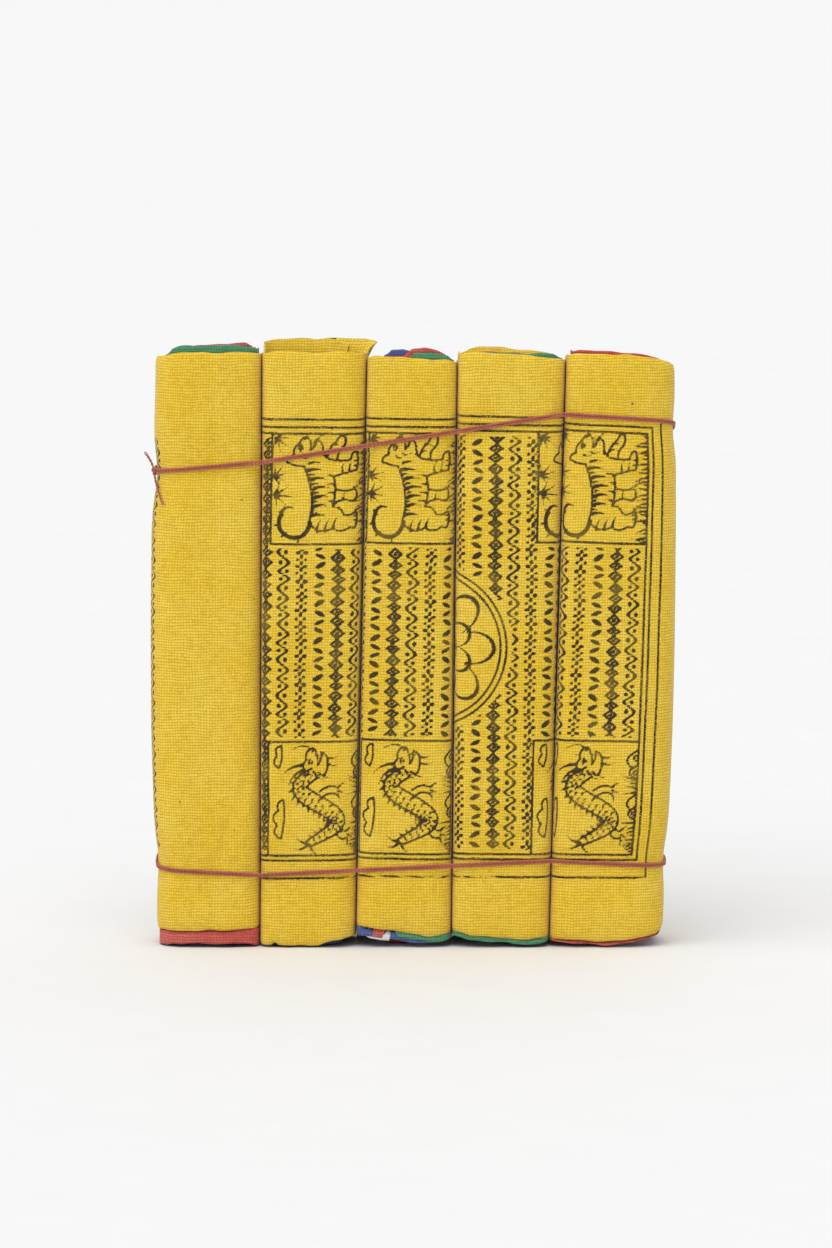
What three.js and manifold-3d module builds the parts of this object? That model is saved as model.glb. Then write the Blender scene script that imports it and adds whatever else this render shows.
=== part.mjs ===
// A bundle of five rolls of prayer flags that stands on its rolled ends, bound by two red threads.
// Each roll is a string of five cotton flags, stacked and wound flat with the yellow flag outside.
// Units are millimetres, +Z is up, the front faces -Y, and the origin is the middle of the base.
import * as THREE from "three";
import { mergeVertices } from "three/addons/utils/BufferGeometryUtils.js";
import Module from "manifold-3d";

const wasm = await Module();
wasm.setup();

// Driving dimensions
const HEAD_HEIGHT = 173; // a roll's upper end, where the head columns of the table are taken
const HALF_DEPTH = 13.2; // from the middle plane to every roll's face where a thread draws it in
const ROLL_GAP = 0.4; // between the sides of neighbouring rolls
const SQUARENESS = 4; // power of the rounded outline of a roll: 2 is an ellipse, more is squarer
const THREAD_WIDTH = 1.4; // the doubled thread of a tie, over both strands
const TAIL_WIDTH = 0.8; // one loose end of the thread
const THREAD_CLEARANCE = 0.36; // between the thread and the cloth below it
const PINCH_REACH = 8; // how far above and below a thread the cloth is drawn in
const LAYER_STEP = 0.8; // the step down past the loose edge of the outermost layer
const GROOVE_DEPTH = 1.6; // the hollow between two turns at a roll's end
const TURN_SINK = 0.5; // how much lower each turn's upper end stands than that of the turn round it
const RIM_ROUND = 1.2; // how much lower than its edge the outer face of the wrap starts

// Shares of a roll's outline that the core, the two turns round it and the wrap take up at its ends
const TURNS = [
  { from: 0, to: 0.36 },
  { from: 0.43, to: 0.63 },
  { from: 0.7, to: 0.91 },
];
const WRAP = { from: 0.945, to: 0.98 };

// Mesh fineness
const AROUND = 28; // facets around a roll
const PINCH_RINGS = [-1.2, -0.6, 0, 0.6, 1.2]; // rings of a roll near a thread, in reaches from it
const BELLY_RINGS = [0.25, 0.5, 0.75]; // rings of a roll between its threads, as shares of that stretch
const THREAD_SIDES = 8;
const BEND_STEPS = 18; // rings of the thread round each outermost side

// The five rolls, from left to right. foot and head are the x of a roll's left and right sides at its
// lower and upper end, low and top the z of the yellow wrap's edges at its left and right, inner the z of
// the turns inside it, swell how far the front and back stand out between the threads, looseEdge the
// angle from the front, in degrees to the right, where the outermost layer ends, corner the rounding of
// the wrap's edges towards its left and right sides, and bulge how far those sides belly out.
const ROLLS = [
  { name: "roll_1", foot: [-73.6, -44.2], head: [-73.5, -43.2], low: [6.0, 7.0], top: [172.6, 173.4],
    inner: 175.3, swell: 0.8, looseEdge: 70, corner: [1.6, 0.6], bulge: [2, 0] },
  { name: "roll_2", foot: [-44.2, -16.4], head: [-43.2, -12.9], low: [0.9, 0.6], top: [173.2, 172.8],
    inner: 175.6, swell: 1.0, looseEdge: 165, corner: [0.6, 0.6], bulge: [0, 0] },
  { name: "roll_3", foot: [-16.4, 11.5], head: [-12.9, 13.2], low: [6.4, 3.6], top: [172.2, 171.2],
    inner: 174.4, swell: 0.7, looseEdge: 150, corner: [0.6, 0.6], bulge: [0, 0] },
  { name: "roll_4", foot: [11.5, 39.9], head: [13.2, 44.5], low: [5.2, 3.8], top: [173.6, 171.9],
    inner: 174.9, swell: 1.0, looseEdge: 195, corner: [0.6, 0.6], bulge: [0, 0] },
  { name: "roll_5", foot: [39.9, 73.4], head: [44.5, 76.4], low: [2.8, 3.0], top: [173.0, 171.9],
    inner: 174.2, swell: 1.2, looseEdge: 105, corner: [0.6, 4.2], bulge: [0, 2] },
];

// The two ties. front is the z of the thread along the front: at the left side, where the first roll meets
// its neighbour, where the last one does, and at the right side. backFall is how much lower it runs at the
// back on the left and on the right, and knotAngle where it is knotted, in degrees from the front.
const TIES = [
  { name: "tie_lower", front: [22.6, 21.4, 25.6, 24], backFall: [-4, 0], knotAngle: 238, tails: false },
  { name: "tie_upper", front: [138.9, 141.6, 155.5, 153.6], backFall: [0.5, 6], knotAngle: 282, tails: true },
];
const KNOT_SIZE = { out: 1.1, along: 1.5, up: 1.7 }; // half sizes of a knot

// Colours and finishes
const yellowCotton = new THREE.MeshStandardMaterial({ color: "#e2b935", roughness: 0.9, metalness: 0 });
const redThread = new THREE.MeshStandardMaterial({ color: "#b4503f", roughness: 0.85, metalness: 0 });

const { lerp, degToRad, smoothstep } = THREE.MathUtils;
const firstRoll = ROLLS[0];
const lastRoll = ROLLS[ROLLS.length - 1];

// The points where a tie's thread changes its slant along the front.
function frontPoints(tie) {
  const sides = [firstRoll, lastRoll].flatMap((roll) => [0, 1].map((side) => ({ roll, side })));
  return sides.map(({ roll, side }, index) => {
    const z = tie.front[index];
    return { x: lerp(roll.foot[side], roll.head[side], z / HEAD_HEIGHT), z };
  });
}

// Height of a tie's thread at a point of the bundle.
function threadHeight(tie, x, y) {
  const points = frontPoints(tie);
  const first = points[0];
  const last = points[points.length - 1];
  const next = points.findIndex((point, index) => index > 0 && (x <= point.x || point === last));
  const [from, to] = [points[next - 1], points[next]];
  const front = lerp(from.z, to.z, (x - from.x) / (to.x - from.x));
  const across = (x - first.x) / (last.x - first.x);
  const behind = lerp(first.z - tie.backFall[0], last.z - tie.backFall[1], across);
  return lerp(front, behind, (y + HALF_DEPTH) / (2 * HALF_DEPTH));
}

// How much the ties draw the cloth in at a point: 1 under a thread, 0 well away from both.
function pinch(x, y, z) {
  const pulls = TIES.map((tie) => Math.exp(-(((z - threadHeight(tie, x, y)) / PINCH_REACH) ** 2)));
  return Math.max(...pulls);
}

// A point on the unit outline of a roll, for an angle from the front towards the right.
function outline(angle) {
  const power = 2 / SQUARENESS;
  const squared = (value) => Math.sign(value) * Math.abs(value) ** power;
  return { x: squared(Math.sin(angle)), y: -squared(Math.cos(angle)) };
}

// The middle and the half sizes of a roll at a height, and how far its outermost side bellies out there.
function section(roll, z) {
  const share = z / HEAD_HEIGHT;
  const left = lerp(roll.foot[0], roll.head[0], share) + ROLL_GAP / 2;
  const right = lerp(roll.foot[1], roll.head[1], share) - ROLL_GAP / 2;
  const belly = Math.sin(Math.PI * THREE.MathUtils.clamp(share, 0, 1));
  return { middle: (left + right) / 2, halfWidth: (right - left) / 2, belly };
}

// How deep the outline lies below the wrap just past the loose edge of the outermost layer.
function looseStep(roll, angle) {
  const past = THREE.MathUtils.euclideanModulo(angle - degToRad(roll.looseEdge), 2 * Math.PI);
  return LAYER_STEP * (1 - smoothstep(past, 0, degToRad(70)));
}

// A point of a roll at a share of its outline, from 0 in the core to 1 on its face.
function rollPoint(roll, share, angle, z) {
  const { middle, halfWidth, belly } = section(roll, z);
  const unit = outline(angle);
  const faceX = middle + unit.x * halfWidth;
  const free = 1 - pinch(faceX, unit.y * HALF_DEPTH, z);
  const sideSwell = roll.bulge[unit.x < 0 ? 0 : 1] * belly * free;
  const halfDepth = HALF_DEPTH + roll.swell * free * Math.sqrt(belly);
  const inset = looseStep(roll, angle) * free;
  const reachX = halfWidth + sideSwell - inset;
  const reachY = halfDepth - inset;
  return new THREE.Vector3(middle + unit.x * reachX * share, unit.y * reachY * share, z);
}

// Height of the wrap's lower or upper edge at an angle: a slanted line, rounded off towards the sides.
function wrapEdge(roll, edge, angle) {
  const across = outline(angle).x;
  const sideways = Math.abs(Math.sin(angle)) ** 3;
  const corner = roll.corner[across < 0 ? 0 : 1] * sideways;
  const height = lerp(edge[0], edge[1], (across + 1) / 2);
  return edge === roll.low ? height + corner : height - corner;
}

// Heights of the rings on a roll's face, from the wrap's lower edge to its upper one.
function faceHeights(roll, angle) {
  const { middle, halfWidth } = section(roll, HEAD_HEIGHT / 2);
  const unit = outline(angle);
  const x = middle + unit.x * halfWidth;
  const [lower, upper] = TIES.map((tie) => threadHeight(tie, x, unit.y * HALF_DEPTH));
  const near = (height) => PINCH_RINGS.map((reaches) => height + reaches * PINCH_REACH);
  return [
    wrapEdge(roll, roll.low, angle) + RIM_ROUND,
    ...near(lower),
    ...BELLY_RINGS.map((share) => lerp(lower, upper, share)),
    ...near(upper),
    wrapEdge(roll, roll.top, angle) - RIM_ROUND,
  ];
}

// The stations of a roll's end from its middle to the wrap. turnHeight gives the z of a turn by its place
// from the outside, wrapHeight that of the wrap at an angle, and inward is the sign of the way into the roll.
function endStations(turnHeight, wrapHeight, inward) {
  const stations = TURNS.flatMap((turn, index) => {
    const next = TURNS[index + 1] ?? WRAP;
    const height = turnHeight(TURNS.length - 1 - index);
    const hollow = (angle) => (next === WRAP ? wrapHeight(angle) : height) + inward * GROOVE_DEPTH;
    return [
      { share: turn.from, height: () => height },
      { share: turn.to, height: () => height },
      { share: (turn.to + next.from) / 2, height: hollow },
    ];
  });
  const wrap = [WRAP.from, WRAP.to].map((share) => ({ share, height: wrapHeight }));
  return [...stations, ...wrap];
}

// The stations of a roll's profile from the middle of its foot, over its face, to the middle of its head.
// share is how far out a station lies, and height gives its z at an angle.
function rollStations(roll) {
  const foot = endStations(() => 0, (angle) => wrapEdge(roll, roll.low, angle), 1);
  const face = faceHeights(roll, 0).map((_, ring) => ({
    share: 1,
    height: (angle) => faceHeights(roll, angle)[ring],
  }));
  const headTurn = (turnsOutside) => roll.inner - TURN_SINK * turnsOutside;
  const head = endStations(headTurn, (angle) => wrapEdge(roll, roll.top, angle), -1);
  return [...foot, ...face, ...head.reverse()];
}

// One wound roll: a lathe of its stations, each ring drawn out to the roll's own outline.
function makeRoll(roll) {
  const stations = rollStations(roll);
  const profile = stations.map((station, index) => new THREE.Vector2(station.share, index));
  const geometry = new THREE.LatheGeometry(profile, AROUND);
  const position = geometry.getAttribute("position");
  for (let step = 0; step <= AROUND; step++) {
    const angle = (2 * Math.PI * (step % AROUND)) / AROUND;
    stations.forEach((station, index) => {
      const point = rollPoint(roll, station.share, angle, station.height(angle));
      position.setXYZ(step * stations.length + index, point.x, point.y, point.z);
    });
  }
  const mesh = new THREE.Mesh(solidGeometry(toSolid(geometry)), yellowCotton);
  mesh.name = roll.name;
  return mesh;
}

// A closed geometry as a solid for joining, with its doubled vertices merged.
function toSolid(geometry) {
  const bare = geometry.clone();
  bare.deleteAttribute("normal");
  bare.deleteAttribute("uv");
  const merged = mergeVertices(bare, 1e-4);
  return new wasm.Manifold(
    new wasm.Mesh({
      numProp: 3,
      vertProperties: merged.getAttribute("position").array,
      triVerts: new Uint32Array(merged.index.array),
    }),
  );
}

// A solid as a geometry to draw.
function solidGeometry(solid) {
  const { vertProperties, triVerts } = solid.getMesh();
  const geometry = new THREE.BufferGeometry();
  geometry.setAttribute("position", new THREE.BufferAttribute(vertProperties, 3));
  geometry.setIndex(new THREE.BufferAttribute(triVerts, 1));
  geometry.computeVertexNormals();
  return geometry;
}

// A point of a tie's route round an outermost roll, a given distance off the drawn-in cloth.
function aroundPoint(tie, roll, angle, distance) {
  const unit = outline(angle);
  const side = roll === firstRoll ? roll.foot[0] : roll.foot[1];
  const { middle, halfWidth } = section(roll, threadHeight(tie, side, unit.y * HALF_DEPTH));
  const x = middle + unit.x * halfWidth;
  const y = unit.y * HALF_DEPTH;
  const z = threadHeight(tie, x, y);
  const slope = SQUARENESS - 1;
  const normal = new THREE.Vector3(
    (Math.sign(unit.x) * Math.abs(unit.x) ** slope) / halfWidth,
    (Math.sign(unit.y) * Math.abs(unit.y) ** slope) / HALF_DEPTH,
    0,
  ).normalize();
  return new THREE.Vector3(x, y, z).addScaledVector(normal, distance);
}

// The route of a tie: from its knot on the left side along the front, round the right and back again.
function tieRoute(tie) {
  const distance = THREAD_CLEARANCE + THREAD_WIDTH / 2;
  const bend = (roll, from, to) => {
    const steps = Math.ceil((BEND_STEPS * Math.abs(to - from)) / 180);
    return Array.from({ length: steps + 1 }, (_, i) =>
      aroundPoint(tie, roll, degToRad(lerp(from, to, i / steps)), distance),
    );
  };
  const seams = frontPoints(tie).slice(1, -1);
  return [
    ...bend(firstRoll, tie.knotAngle, 360),
    ...seams.map(({ x, z }) => new THREE.Vector3(x, -HALF_DEPTH - distance, z)),
    ...bend(lastRoll, 0, 180),
    ...bend(firstRoll, 180, tie.knotAngle),
  ];
}

// A tube along a route: a cylinder with one ring for each point, bent to follow it.
function bentTube(route, radius) {
  const tube = new THREE.CylinderGeometry(radius, radius, 1, THREAD_SIDES, route.length - 1);
  const position = tube.getAttribute("position");
  const corner = new THREE.Vector3();
  for (let i = 0; i < position.count; i++) {
    corner.fromBufferAttribute(position, i);
    const ring = Math.round((0.5 - corner.y) * (route.length - 1));
    const before = route[Math.max(ring - 1, 0)];
    const after = route[Math.min(ring + 1, route.length - 1)];
    const along = after.clone().sub(before).normalize();
    const sideways = new THREE.Vector3(0, 0, 1).cross(along).normalize();
    const upwards = along.clone().cross(sideways);
    const point = route[ring].clone().addScaledVector(sideways, corner.x).addScaledVector(upwards, corner.z);
    position.setXYZ(i, point.x, point.y, point.z);
  }
  return tube;
}

// The knot of a tie, a small lump that its two ends run into.
function knotSolid(tie) {
  const angle = degToRad(tie.knotAngle);
  const centre = aroundPoint(tie, firstRoll, angle, THREAD_CLEARANCE + KNOT_SIZE.out);
  const foot = aroundPoint(tie, firstRoll, angle, 0);
  const outward = centre.clone().sub(foot).normalize();
  const knot = new THREE.SphereGeometry(1, 10, 8);
  knot.scale(KNOT_SIZE.out, KNOT_SIZE.along, KNOT_SIZE.up);
  knot.rotateZ(Math.atan2(outward.y, outward.x));
  knot.translate(centre.x, centre.y, centre.z);
  return { solid: toSolid(knot), centre, outward };
}

// A loose end of the thread, a thin tube from the knot along a short curve.
function tailSolid(points) {
  const disc = new THREE.Shape();
  disc.absarc(0, 0, TAIL_WIDTH / 2, 0, 2 * Math.PI);
  const path = new THREE.CatmullRomCurve3(points);
  const options = { steps: 8, curveSegments: 3, bevelEnabled: false, extrudePath: path };
  return toSolid(new THREE.ExtrudeGeometry(disc, options));
}

// The two loose ends at a knot: one stands up and out, the other hangs over the front corner.
function tailCurves(knot) {
  const forward = new THREE.Vector3(-knot.outward.y, knot.outward.x, 0);
  const place = (out, front, up) =>
    knot.centre
      .clone()
      .addScaledVector(knot.outward, out)
      .addScaledVector(forward, front)
      .add(new THREE.Vector3(0, 0, up));
  return [
    [place(0, 0, 0.4), place(0.9, 0.4, 2.4), place(2.4, 0.6, 5.6)],
    [place(0, 0.3, -0.4), place(-0.1, 1.9, -2.7), place(-0.55, 4.1, -5.1), place(-1.1, 5.6, -7.3), place(-1.9, 6.7, -8.6)],
  ];
}

// One tie: the thread round all five rolls, with its knot and the loose ends that show.
function makeTie(tie) {
  const knot = knotSolid(tie);
  let solid = toSolid(bentTube(tieRoute(tie), THREAD_WIDTH / 2)).add(knot.solid);
  if (tie.tails) {
    for (const curve of tailCurves(knot)) {
      solid = solid.add(tailSolid(curve));
    }
  }
  const mesh = new THREE.Mesh(solidGeometry(solid), redThread);
  mesh.name = tie.name;
  return mesh;
}

const bundle = new THREE.Group();
bundle.name = "prayer_flag_bundle";
bundle.add(...ROLLS.map(makeRoll));
bundle.add(...TIES.map(makeTie));

export default bundle;
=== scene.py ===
"""A bundle of five rolled strings of prayer flags, bound by two red threads, on a pale studio floor.

Shapes are worked out in millimetres and become metres when a mesh is made.
"""

import logging
import math
from dataclasses import dataclass, field
from enum import Enum
from typing import Optional, Union

import bmesh
import bpy
import numpy as np
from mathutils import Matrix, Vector


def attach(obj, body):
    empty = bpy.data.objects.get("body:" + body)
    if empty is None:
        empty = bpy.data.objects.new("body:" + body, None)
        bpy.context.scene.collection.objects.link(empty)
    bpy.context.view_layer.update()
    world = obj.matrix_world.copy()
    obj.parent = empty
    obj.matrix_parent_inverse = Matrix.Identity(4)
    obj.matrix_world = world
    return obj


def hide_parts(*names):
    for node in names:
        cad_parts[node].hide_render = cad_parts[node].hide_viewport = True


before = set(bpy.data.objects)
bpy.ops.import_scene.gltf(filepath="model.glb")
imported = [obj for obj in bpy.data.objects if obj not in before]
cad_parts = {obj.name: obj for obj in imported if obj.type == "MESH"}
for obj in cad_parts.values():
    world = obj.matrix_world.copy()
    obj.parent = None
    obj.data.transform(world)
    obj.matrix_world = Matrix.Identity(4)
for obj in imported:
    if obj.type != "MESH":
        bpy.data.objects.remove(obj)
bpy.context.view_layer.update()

log = logging.getLogger("prayer_flags")

Array = np.ndarray
Colour = tuple[float, float, float]
Point = tuple[float, float, float]
Pair = tuple[float, float]
Profile = tuple[Pair, ...]
Socket = Union[bpy.types.NodeSocket, float]

MM = 0.001
FULL_TURN = 2.0 * math.pi
PHASES = 6.28

FLAG_WIDTH = 170.0
FLAG_LENGTH = 168.0
CLOTH_THICKNESS = 0.42
WEAVE_PITCH = 0.83

HEAD_HEIGHT = 173.0
HALF_DEPTH = 13.2
ROLL_GAP = 0.08
SEAM_BOW = 0.6
OPEN_SIDE = 4.0
SEAM_SIDE = 6.5
CORE_SIDE = 2.7
PINCH_REACH = 8.0
FLOOR_CLEARANCE = 0.25
FULL_FLARE = 0.99

NO_INK = 9.0
POINTED = 0.3
BLADE_WIDTH = 0.8


def smooth(low: float, high: float, value: Array) -> Array:
    """Ease from 0 to 1 between two limits.

    Args:
        low: Where the ease starts.
        high: Where the ease ends.
        value: The values to ease.

    Returns:
        The eased values.
    """
    share = np.clip((value - low) / (high - low), 0.0, 1.0)
    return share * share * (3.0 - 2.0 * share)


def blend(first: Array, second: Array, share: Array) -> Array:
    """Mix two values by a share from 0 to 1."""
    return first + (second - first) * share


def arc_lengths(points: Array) -> Array:
    """Distances of points from the first one, measured along their line."""
    return np.concatenate([[0.0], np.cumsum(np.linalg.norm(np.diff(points, axis=0), axis=1))])


class Leaf(Enum):
    """The five flags of a string, counted from the outside of a roll."""

    YELLOW = 0
    GREEN = 1
    RED = 2
    WHITE = 3
    BLUE = 4

    @property
    def word(self) -> str:
        """The flag's colour as a word for names."""
        return self.name.lower()


@dataclass(frozen=True)
class TieSizes:
    """Where a tie's thread runs, in millimetres and degrees.

    The front heights are taken at the left side, where the first roll meets its neighbour, where the
    last one does, and at the right side. The thread runs lower at the back by the two back falls. Each
    loose end is a row of points from the knot: out from the cloth, along it and up.
    """

    name: str
    node: str
    front: tuple[float, float, float, float]
    back_fall: Pair
    knot_angle: float
    loose_ends: tuple[tuple[Point, ...], ...] = ()

    def front_places(self) -> Array:
        """The x of the four front heights."""
        sides = [(roll.foot[side], roll.head[side]) for roll in (ROLLS[0], ROLLS[-1]) for side in (0, 1)]
        return np.array([blend(*side, z / HEAD_HEIGHT) for side, z in zip(sides, self.front)])

    def height(self, x: Array, y: Array) -> Array:
        """Height of the thread at a point of the bundle.

        Args:
            x: Places along the row of rolls.
            y: Places from front to back.

        Returns:
            The thread's heights there.
        """
        places = self.front_places()
        front = np.interp(x, places, self.front)
        ends = (self.front[0] - self.back_fall[0], self.front[-1] - self.back_fall[1])
        behind = np.interp(x, places[[0, -1]], ends)
        return blend(front, behind, (y + HALF_DEPTH) / (2.0 * HALF_DEPTH))


@dataclass(frozen=True)
class LeafEdges:
    """How far a flag's edges reach beyond the wrap, at shares of the roll's width from left to right.

    At the back of the roll the head is lower by the back fall. The flare is the share by which the foot
    spreads out under the wrap, and the lean is the share by which the head comes out behind the wrap's edge.
    A foot that is set back lies that many flags deeper.
    """

    head: Profile
    foot: Profile
    back_fall: float = 2.4
    flare: float = 0.0
    lean: float = 0.0
    set_back: float = 0.0


def level(rise: float, drop: float) -> LeafEdges:
    """Edges that reach equally far beyond the wrap all along.

    Args:
        rise: Reach above the wrap's upper edge.
        drop: Reach below the wrap's lower edge.

    Returns:
        The edges.
    """
    return LeafEdges(((0.0, rise),), ((0.0, drop),))


@dataclass(frozen=True)
class RollSizes:
    """One roll's place and form, in millimetres and degrees.

    A pair holds the values of the left and the right side. The low and the top are the wrap's edges at
    shares of the roll's width, and the back is what the upper edge rises behind. The margin, the lean,
    the tilt and framed place the wrap's print. The starts are the turns at which the flags begin.
    """

    name: str
    foot: Pair
    head: Pair
    low: Profile
    top: Profile
    core_top: float
    swell: float
    loose_edge: float
    corner: Pair
    bulge: Pair
    square: Pair
    back: Profile
    margin: float
    lean: float
    tilt: Pair
    seed: int
    starts: tuple[float, ...]
    edges: dict[Leaf, LeafEdges]
    framed: bool = True
    ear: float = 0.0
    turn_up: Pair = (-0.2, 0.9)

    def sides(self, share: Array) -> tuple[Array, Array]:
        """The x of the left and the right side at a share of the roll's height."""
        left, right = (blend(foot, head, share) for foot, head in zip(self.foot, self.head))
        return left + ROLL_GAP / 2.0, right - ROLL_GAP / 2.0


ROLLS: tuple[RollSizes, ...] = (
    RollSizes(
        "roll_1", foot=(-73.6, -44.2), head=(-73.5, -43.2),
        low=((0.0, 4.0), (0.12, 4.6), (0.45, 5.0), (1.0, 5.6)),
        top=((0.0, 172.8), (0.2, 173.4), (1.0, 173.5)),
        back=((0.0, -1.6),), core_top=169.6, swell=0.8, loose_edge=100.0,
        corner=(1.6, 0.6), bulge=(2.0, 0.0), square=(OPEN_SIDE, SEAM_SIDE),
        margin=39.5, lean=0.2, tilt=(0.4, 0.4), framed=False,
        seed=11, starts=(0.0, 0.02, 0.0, 0.26, 0.36),
        edges={
            Leaf.GREEN: LeafEdges(
                head=((0.0, -0.6), (0.07, 0.3), (0.13, 1.6), (0.22, 1.9), (0.97, 2.0), (1.0, 1.4)),
                foot=((0.0, -0.8), (1.0, -0.4)),
            ),
            Leaf.RED: LeafEdges(
                head=((0.0, -0.8), (0.2, 1.2), (0.45, 1.9), (0.7, 2.5), (0.92, 2.8), (0.98, 2.4), (1.0, 1.6)),
                foot=((0.0, 5.2), (0.1, 4.2), (0.3, 3.7), (0.75, 4.0), (0.9, 4.6), (1.0, 5.6)),
                flare=FULL_FLARE,
            ),
            Leaf.WHITE: level(-0.6, 2.2),
            Leaf.BLUE: level(-0.8, 2.6),
        },
    ),
    RollSizes(
        "roll_2", foot=(-44.2, -16.4), head=(-43.2, -12.9),
        low=((0.0, 0.7), (0.1, 0.6), (0.145, 1.5), (0.2, 0.7), (0.64, 0.7), (0.76, 2.0), (1.0, 3.1)),
        top=((0.0, 174.1), (0.08, 173.9), (0.5, 173.3), (0.92, 173.6), (1.0, 173.8)),
        back=((0.0, 1.8), (0.08, 1.8), (0.3, 2.1), (0.5, 2.3), (0.7, 2.3), (0.92, 2.1), (1.0, 2.0)),
        core_top=168.6, swell=1.0, loose_edge=170.0, ear=0.9, turn_up=(-0.05, 0.5),
        corner=(0.6, 0.6), bulge=(0.0, 0.0), square=(SEAM_SIDE, SEAM_SIDE),
        margin=29.5, lean=0.3, tilt=(-0.6, 0.4),
        seed=23, starts=(0.0, 0.07, 0.13, 0.19, 0.25),
        edges={
            Leaf.GREEN: level(-2.2, -0.8),
            Leaf.RED: level(-2.0, -0.6),
            Leaf.WHITE: level(-1.6, -0.4),
            Leaf.BLUE: LeafEdges(
                head=((0.0, -1.8),),
                foot=((0.0, 0.0), (0.6, 0.2), (0.76, 1.2), (1.0, 2.4)),
            ),
        },
    ),
    RollSizes(
        "roll_3", foot=(-16.4, 11.5), head=(-12.9, 13.2),
        low=((0.0, 6.3), (0.4, 5.0), (0.78, 3.3), (0.9, 3.4), (1.0, 4.0)),
        top=((0.0, 172.4), (1.0, 171.2)),
        back=((0.0, -2.4), (1.0, -2.0)), core_top=168.6, swell=0.7, loose_edge=143.0,
        corner=(0.6, 0.6), bulge=(0.0, 0.0), square=(SEAM_SIDE, SEAM_SIDE),
        margin=21.0, lean=0.5, tilt=(1.5, 0.6),
        seed=37, starts=(0.0, 0.06, 0.11, 0.16, 0.21),
        edges={
            Leaf.GREEN: LeafEdges(
                head=((0.0, -1.2), (0.44, -0.8), (0.54, 1.5), (0.75, 1.7), (0.94, 1.4), (1.0, 0.2)),
                foot=((0.0, -1.5), (0.38, -1.2), (0.46, 1.7), (0.8, 1.5), (1.0, 2.0)),
                flare=FULL_FLARE,
            ),
            Leaf.RED: LeafEdges(
                head=((0.0, -0.8), (0.4, 0.6), (0.5, 2.4), (0.66, 3.2), (0.85, 2.6), (0.95, 1.6), (1.0, 0.2)),
                foot=((0.0, -1.0), (0.165, -0.6), (0.18, 2.6), (0.285, 2.5), (0.3, -0.6), (1.0, 0.4)),
                flare=FULL_FLARE,
            ),
            Leaf.WHITE: LeafEdges(
                head=((0.0, -0.4),),
                foot=((0.0, -0.8), (0.09, -0.6), (0.105, 3.0), (0.14, 3.3), (0.35, 3.2), (0.365, 1.0), (1.0, 1.0)),
                flare=FULL_FLARE, set_back=1.6,
            ),
            Leaf.BLUE: LeafEdges(
                head=((0.0, -0.4), (0.14, 0.6), (0.2, 1.7), (0.36, 2.4), (0.48, 1.6), (0.56, 0.2), (1.0, -0.6)),
                foot=((0.0, 3.2), (0.1, 2.7), (0.28, 2.6), (0.295, -0.5), (0.345, -0.5), (0.36, 2.6),
                      (0.5, 2.6), (1.0, 1.8)),
                flare=FULL_FLARE,
            ),
        },
    ),
    RollSizes(
        "roll_4", foot=(11.5, 39.9), head=(13.2, 44.5),
        low=((0.0, 4.6), (0.2, 3.5), (0.8, 2.4), (1.0, 2.8)),
        top=((0.0, 173.8), (1.0, 171.8)),
        back=((0.0, -2.0), (0.1, -0.6), (0.2, 0.1), (0.5, 0.0), (0.85, -0.4), (0.95, -1.2), (1.0, -2.6)),
        core_top=168.4, swell=1.0, loose_edge=207.0,
        corner=(0.6, 0.6), bulge=(0.0, 0.0), square=(SEAM_SIDE, SEAM_SIDE),
        margin=20.0, lean=-0.4, tilt=(0.2, 1.4),
        seed=53, starts=(0.0, 0.08, 0.15, 0.22, 0.29),
        edges={
            Leaf.GREEN: LeafEdges(
                head=((0.0, -0.5), (0.2, 0.2), (0.6, 0.5), (0.92, 1.0), (1.0, 0.3)),
                foot=((0.0, 1.3), (1.0, 1.5)),
                flare=FULL_FLARE,
            ),
            Leaf.RED: LeafEdges(
                head=((0.0, -0.6), (0.4, 0.4), (0.6, 0.6), (1.0, 0.2)),
                foot=((0.0, 0.5), (1.0, 0.7)),
            ),
            Leaf.WHITE: level(-0.8, 1.2),
            Leaf.BLUE: level(-0.9, 1.6),
        },
    ),
    RollSizes(
        "roll_5", foot=(39.9, 73.4), head=(44.5, 76.4),
        low=((0.0, 2.3), (0.5, 2.0), (1.0, 2.5)),
        top=((0.0, 173.2), (0.6, 172.6), (1.0, 172.2)),
        back=((0.0, -2.4), (0.4, -2.4), (0.75, -3.2), (1.0, -3.8)), core_top=168.2, swell=1.2, loose_edge=117.4,
        corner=(0.6, 4.2), bulge=(0.0, 2.0), square=(SEAM_SIDE, OPEN_SIDE),
        margin=22.8, lean=0.85, tilt=(0.0, 2.8),
        seed=71, starts=(0.0, 0.14, 0.1, 0.24, 0.32),
        edges={
            Leaf.GREEN: level(-1.6, -0.6),
            Leaf.RED: LeafEdges(
                head=((0.0, 1.3), (0.1, 1.1), (0.4, 0.8), (0.72, 0.3), (1.0, -0.4)),
                foot=((0.0, 0.7), (1.0, 0.9)),
                flare=FULL_FLARE, lean=0.85,
            ),
            Leaf.WHITE: level(-1.2, 0.4),
            Leaf.BLUE: level(-1.4, 0.8),
        },
    ),
)

TIES: tuple[TieSizes, ...] = (
    TieSizes(
        "thread_lower", "tie_lower", front=(23.0, 21.4, 25.6, 24.0), back_fall=(-2.0, 0.0), knot_angle=231.7,
    ),
    TieSizes(
        "thread_upper", "tie_upper", front=(138.9, 141.6, 155.5, 153.6), back_fall=(0.5, 5.0), knot_angle=302.7,
        loose_ends=(
            ((0.0, 0.0, 0.3), (0.55, -0.1, 1.4), (1.25, -0.35, 3.0), (2.85, -0.85, 5.5)),
            ((0.1, 0.2, -0.4), (0.0, 1.55, -3.5), (-0.35, 3.0, -6.0), (-0.75, 4.3, -8.15), (-1.5, 5.35, -9.4)),
        ),
    ),
)


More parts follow.
